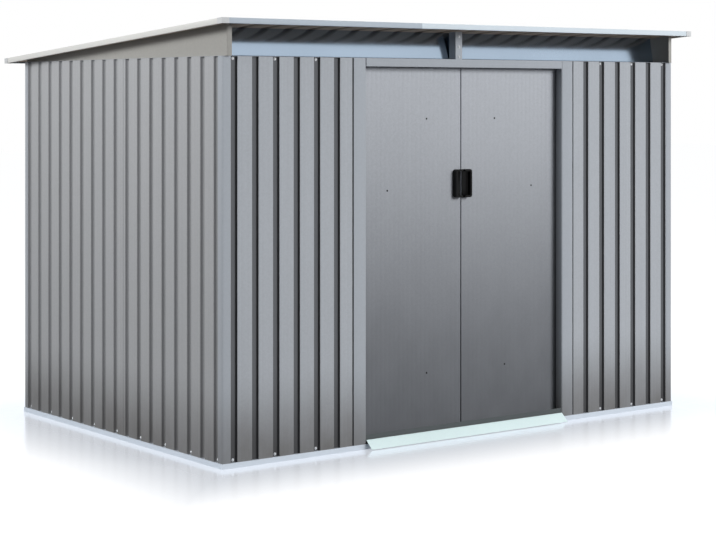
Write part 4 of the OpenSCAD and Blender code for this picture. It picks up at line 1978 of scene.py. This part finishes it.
@dataclass(frozen=True)
class FloorFinish:
    """A pale floor that keeps the shed's shadow and mirrors the shed close by, with painted shadow
    under the shed and painted shade beside it.

    Attributes:
        glow: Brightness of the floor where it is seen.
        open_tint: Colour of the glow away from the shed.
        near_shade_tint: Colour of the glow beside the base rails, a bluish painted shade.
        lit: Colour that takes light and shadow.
        dull: Colour that it throws back on the shed.
        mirror: Colour of the mirror image.
        mirror_rough: Roughness of the mirror image.
        near_mirror: Strength of the mirror image beside the base rails.
        far_mirror: Its strength away from the shed.
        reach: Distance from the base rails over which it fades.
        rail_cover: How far the glow goes on under the base rails.
    """

    glow: float = 0.97
    open_tint: Colour = (1.0, 1.0, 1.0)
    near_shade_tint: Colour = (0.89, 0.93, 1.0)
    lit: Colour = (0.26, 0.26, 0.26)
    dull: Colour = (0.10, 0.10, 0.11)
    mirror: Colour = (0.86, 0.92, 1.0)
    mirror_rough: float = 0.17
    near_mirror: float = 0.50
    far_mirror: float = 0.04
    reach: float = 0.75
    rail_cover: float = 0.03

    def past_rails(self, graph: Graph) -> bpy.types.NodeSocket:
        """Gives how far outside the base rails the floor lies.

        Args:
            graph: The floor's material.

        Returns:
            The distance in metres, below 0 within the rails.
        """
        low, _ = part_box("base_front")
        _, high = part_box("base_back")
        parts = graph.add("ShaderNodeSeparateXYZ", Vector=graph.place()).outputs
        gaps: list[bpy.types.NodeSocket] = []
        for axis, name in enumerate("XY"):
            shift = graph.math("SUBTRACT", parts[name], (low[axis] + high[axis]) / 2)
            away = graph.math("ABSOLUTE", shift)
            gaps.append(graph.math("SUBTRACT", away, (high[axis] - low[axis]) / 2))
        return graph.math("MAXIMUM", *gaps)

    def material(self) -> bpy.types.Material:
        """Builds the material.

        Returns:
            The material.
        """
        graph = Graph("studio_floor")
        tree = graph.tree
        past = self.past_rails(graph)
        # No glow within the base rails: painted shadow on the floor under the shed
        open_floor = graph.math("GREATER_THAN", past, -self.rail_cover)
        fade = graph.fade(past, self.reach)
        more_mirror = self.near_mirror - self.far_mirror
        mirror = graph.math("MULTIPLY_ADD", fade, more_mirror, self.far_mirror)
        mirror = graph.math("MULTIPLY", mirror, open_floor)
        strength = graph.math("MULTIPLY", open_floor, self.glow)
        # Bluish painted shade on the glow beside the base rails
        tint = graph.mix(fade, (*self.open_tint, 1.0), self.near_shade_tint)
        dull = graph.add("ShaderNodeBsdfDiffuse", Color=(*self.dull, 1.0))
        lit = graph.add("ShaderNodeBsdfDiffuse", Color=(*self.lit, 1.0))
        glow = graph.add("ShaderNodeEmission", Color=tint, Strength=strength)
        gloss = graph.add(
            "ShaderNodeBsdfGlossy", Color=(*self.mirror, 1.0), Roughness=self.mirror_rough
        )
        pale = graph.add("ShaderNodeAddShader")
        tree.links.new(lit.outputs[0], pale.inputs[0])
        tree.links.new(glow.outputs[0], pale.inputs[1])
        polished = mix_shaders(tree, mirror, pale, gloss)
        surface = mix_shaders(tree, seen_rays(tree), dull, polished)
        tree.links.new(surface.outputs[0], tree.nodes["Material Output"].inputs["Surface"])
        tree.nodes.remove(graph.shader)
        return graph.material


@dataclass(frozen=True)
class Softbox:
    """A large soft lamp.

    Attributes:
        name: Name of the lamp.
        place: Where it hangs.
        aim: The point that it faces.
        size: Width and height.
        power: Power in watts.
        mirrored: Whether metal shows the lamp itself.
    """

    name: str
    place: Place
    aim: Place
    size: Point
    power: float
    mirrored: bool = True

    def hang(self) -> None:
        """Adds the lamp to the scene."""
        lamp = bpy.data.lights.new(self.name, "AREA")
        lamp.shape = "RECTANGLE"
        lamp.size, lamp.size_y = self.size
        lamp.energy = self.power
        obj = bpy.data.objects.new(self.name, lamp)
        bpy.context.scene.collection.objects.link(obj)
        obj.location = self.place
        facing = Vector(self.aim) - Vector(self.place)
        obj.rotation_euler = facing.to_track_quat("-Z", "Y").to_euler()
        obj.visible_camera = False
        obj.visible_glossy = self.mirrored


# One lamp high before the front, two beside the left wall and one behind
LAMPS = (
    Softbox("key_lamp", (4.0, -10.1, 4.5), (0.0, -0.9, 1.2), (4.5, 4.0), 1000.0, mirrored=False),
    Softbox("left_lamp", (-4.2, 0.7, 3.1), (-1.3, 0.0, 1.1), (3.0, 1.0), 66.0),
    Softbox("edge_lamp", (-5.6, -1.35, 3.3), (-1.33, -0.9, 1.0), (0.5, 1.2), 80.0),
    Softbox("back_lamp", (3.4, 4.2, 3.0), (0.6, 0.6, 1.0), (3.0, 2.0), 110.0),
)


@dataclass(frozen=True)
class Studio:
    """Floor, light and camera.

    Attributes:
        image: Width and height of the picture, in pixels.
        focal: Focal length, in pixels.
        axis: Pixel that the camera's axis passes through.
        eye: Place of the camera.
        turn: How far the camera turns from the front's normal, in degrees.
        sensor: Width of the camera's sensor, in millimetres.
        sight: How far the camera sees.
        floor_w: Width of the floor.
        sky: Colour of the world's light.
        sky_strength: Strength of the world's light.
    """

    image: tuple[int, int] = (716, 540)
    focal: float = 1852.4
    axis: Point = (346.0, 96.63)
    eye: Place = (-5.492, -7.3066, 1.5362)
    turn: float = 36.82
    sensor: float = 36.0
    sight: float = 200.0
    floor_w: float = 80.0
    sky: Colour = (0.92, 0.96, 1.0)
    sky_strength: float = 0.12

    def set_camera(self) -> None:
        """Adds the camera and makes it the scene's own."""
        width, height = self.image
        data = bpy.data.cameras.new("camera")
        data.sensor_width = self.sensor
        data.lens = self.sensor * self.focal / width
        data.shift_x = (width / 2 - self.axis[0]) / width
        data.shift_y = (self.axis[1] - height / 2) / width
        data.clip_end = self.sight
        camera = bpy.data.objects.new("camera", data)
        camera.location = self.eye
        camera.rotation_euler = (math.pi / 2, 0.0, -math.radians(self.turn))
        bpy.context.scene.collection.objects.link(camera)
        bpy.context.scene.camera = camera

    def set_world(self) -> None:
        """Makes the world white where it is seen, and a soft grey as light."""
        world = bpy.data.worlds.new("studio")
        world.use_nodes = True
        tree = world.node_tree
        light = tree.nodes["Background"]
        light.inputs["Color"].default_value = (*self.sky, 1.0)
        light.inputs["Strength"].default_value = self.sky_strength
        white = tree.nodes.new("ShaderNodeBackground")
        white.inputs["Color"].default_value = (1.0, 1.0, 1.0, 1.0)
        white.inputs["Strength"].default_value = 1.0
        surface = mix_shaders(tree, seen_rays(tree), light, white)
        tree.links.new(surface.outputs[0], tree.nodes["World Output"].inputs["Surface"])
        bpy.context.scene.world = world

    def lay_floor(self) -> None:
        """Lays the floor."""
        bpy.ops.object.select_all(action="DESELECT")
        bpy.ops.mesh.primitive_plane_add(size=self.floor_w)
        floor = bpy.context.active_object
        floor.name = "floor"
        floor.data.materials.append(FloorFinish().material())

    def build(self) -> None:
        """Sets up the whole studio."""
        self.set_camera()
        self.set_world()
        self.lay_floor()
        for lamp in LAMPS:
            lamp.hang()
        bpy.context.scene.view_settings.view_transform = "Standard"


def main() -> None:
    """Builds the pieces in order."""
    logging.basicConfig(level=logging.INFO, format="%(name)s: %(message)s")
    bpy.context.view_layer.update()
    Studio().build()
    palette = Palette()
    dress_kept_nodes(palette)
    plan = WallPlan.from_frame()
    Walls(plan, palette).build()
    Corners(plan, palette).build()
    Roof(plan, RoofPlan.from_frame(), palette).build()
    for hand in Hand:
        Door(hand, palette).build()
    Screws(plan, palette).build()


if __name__ == "__main__":
    main()
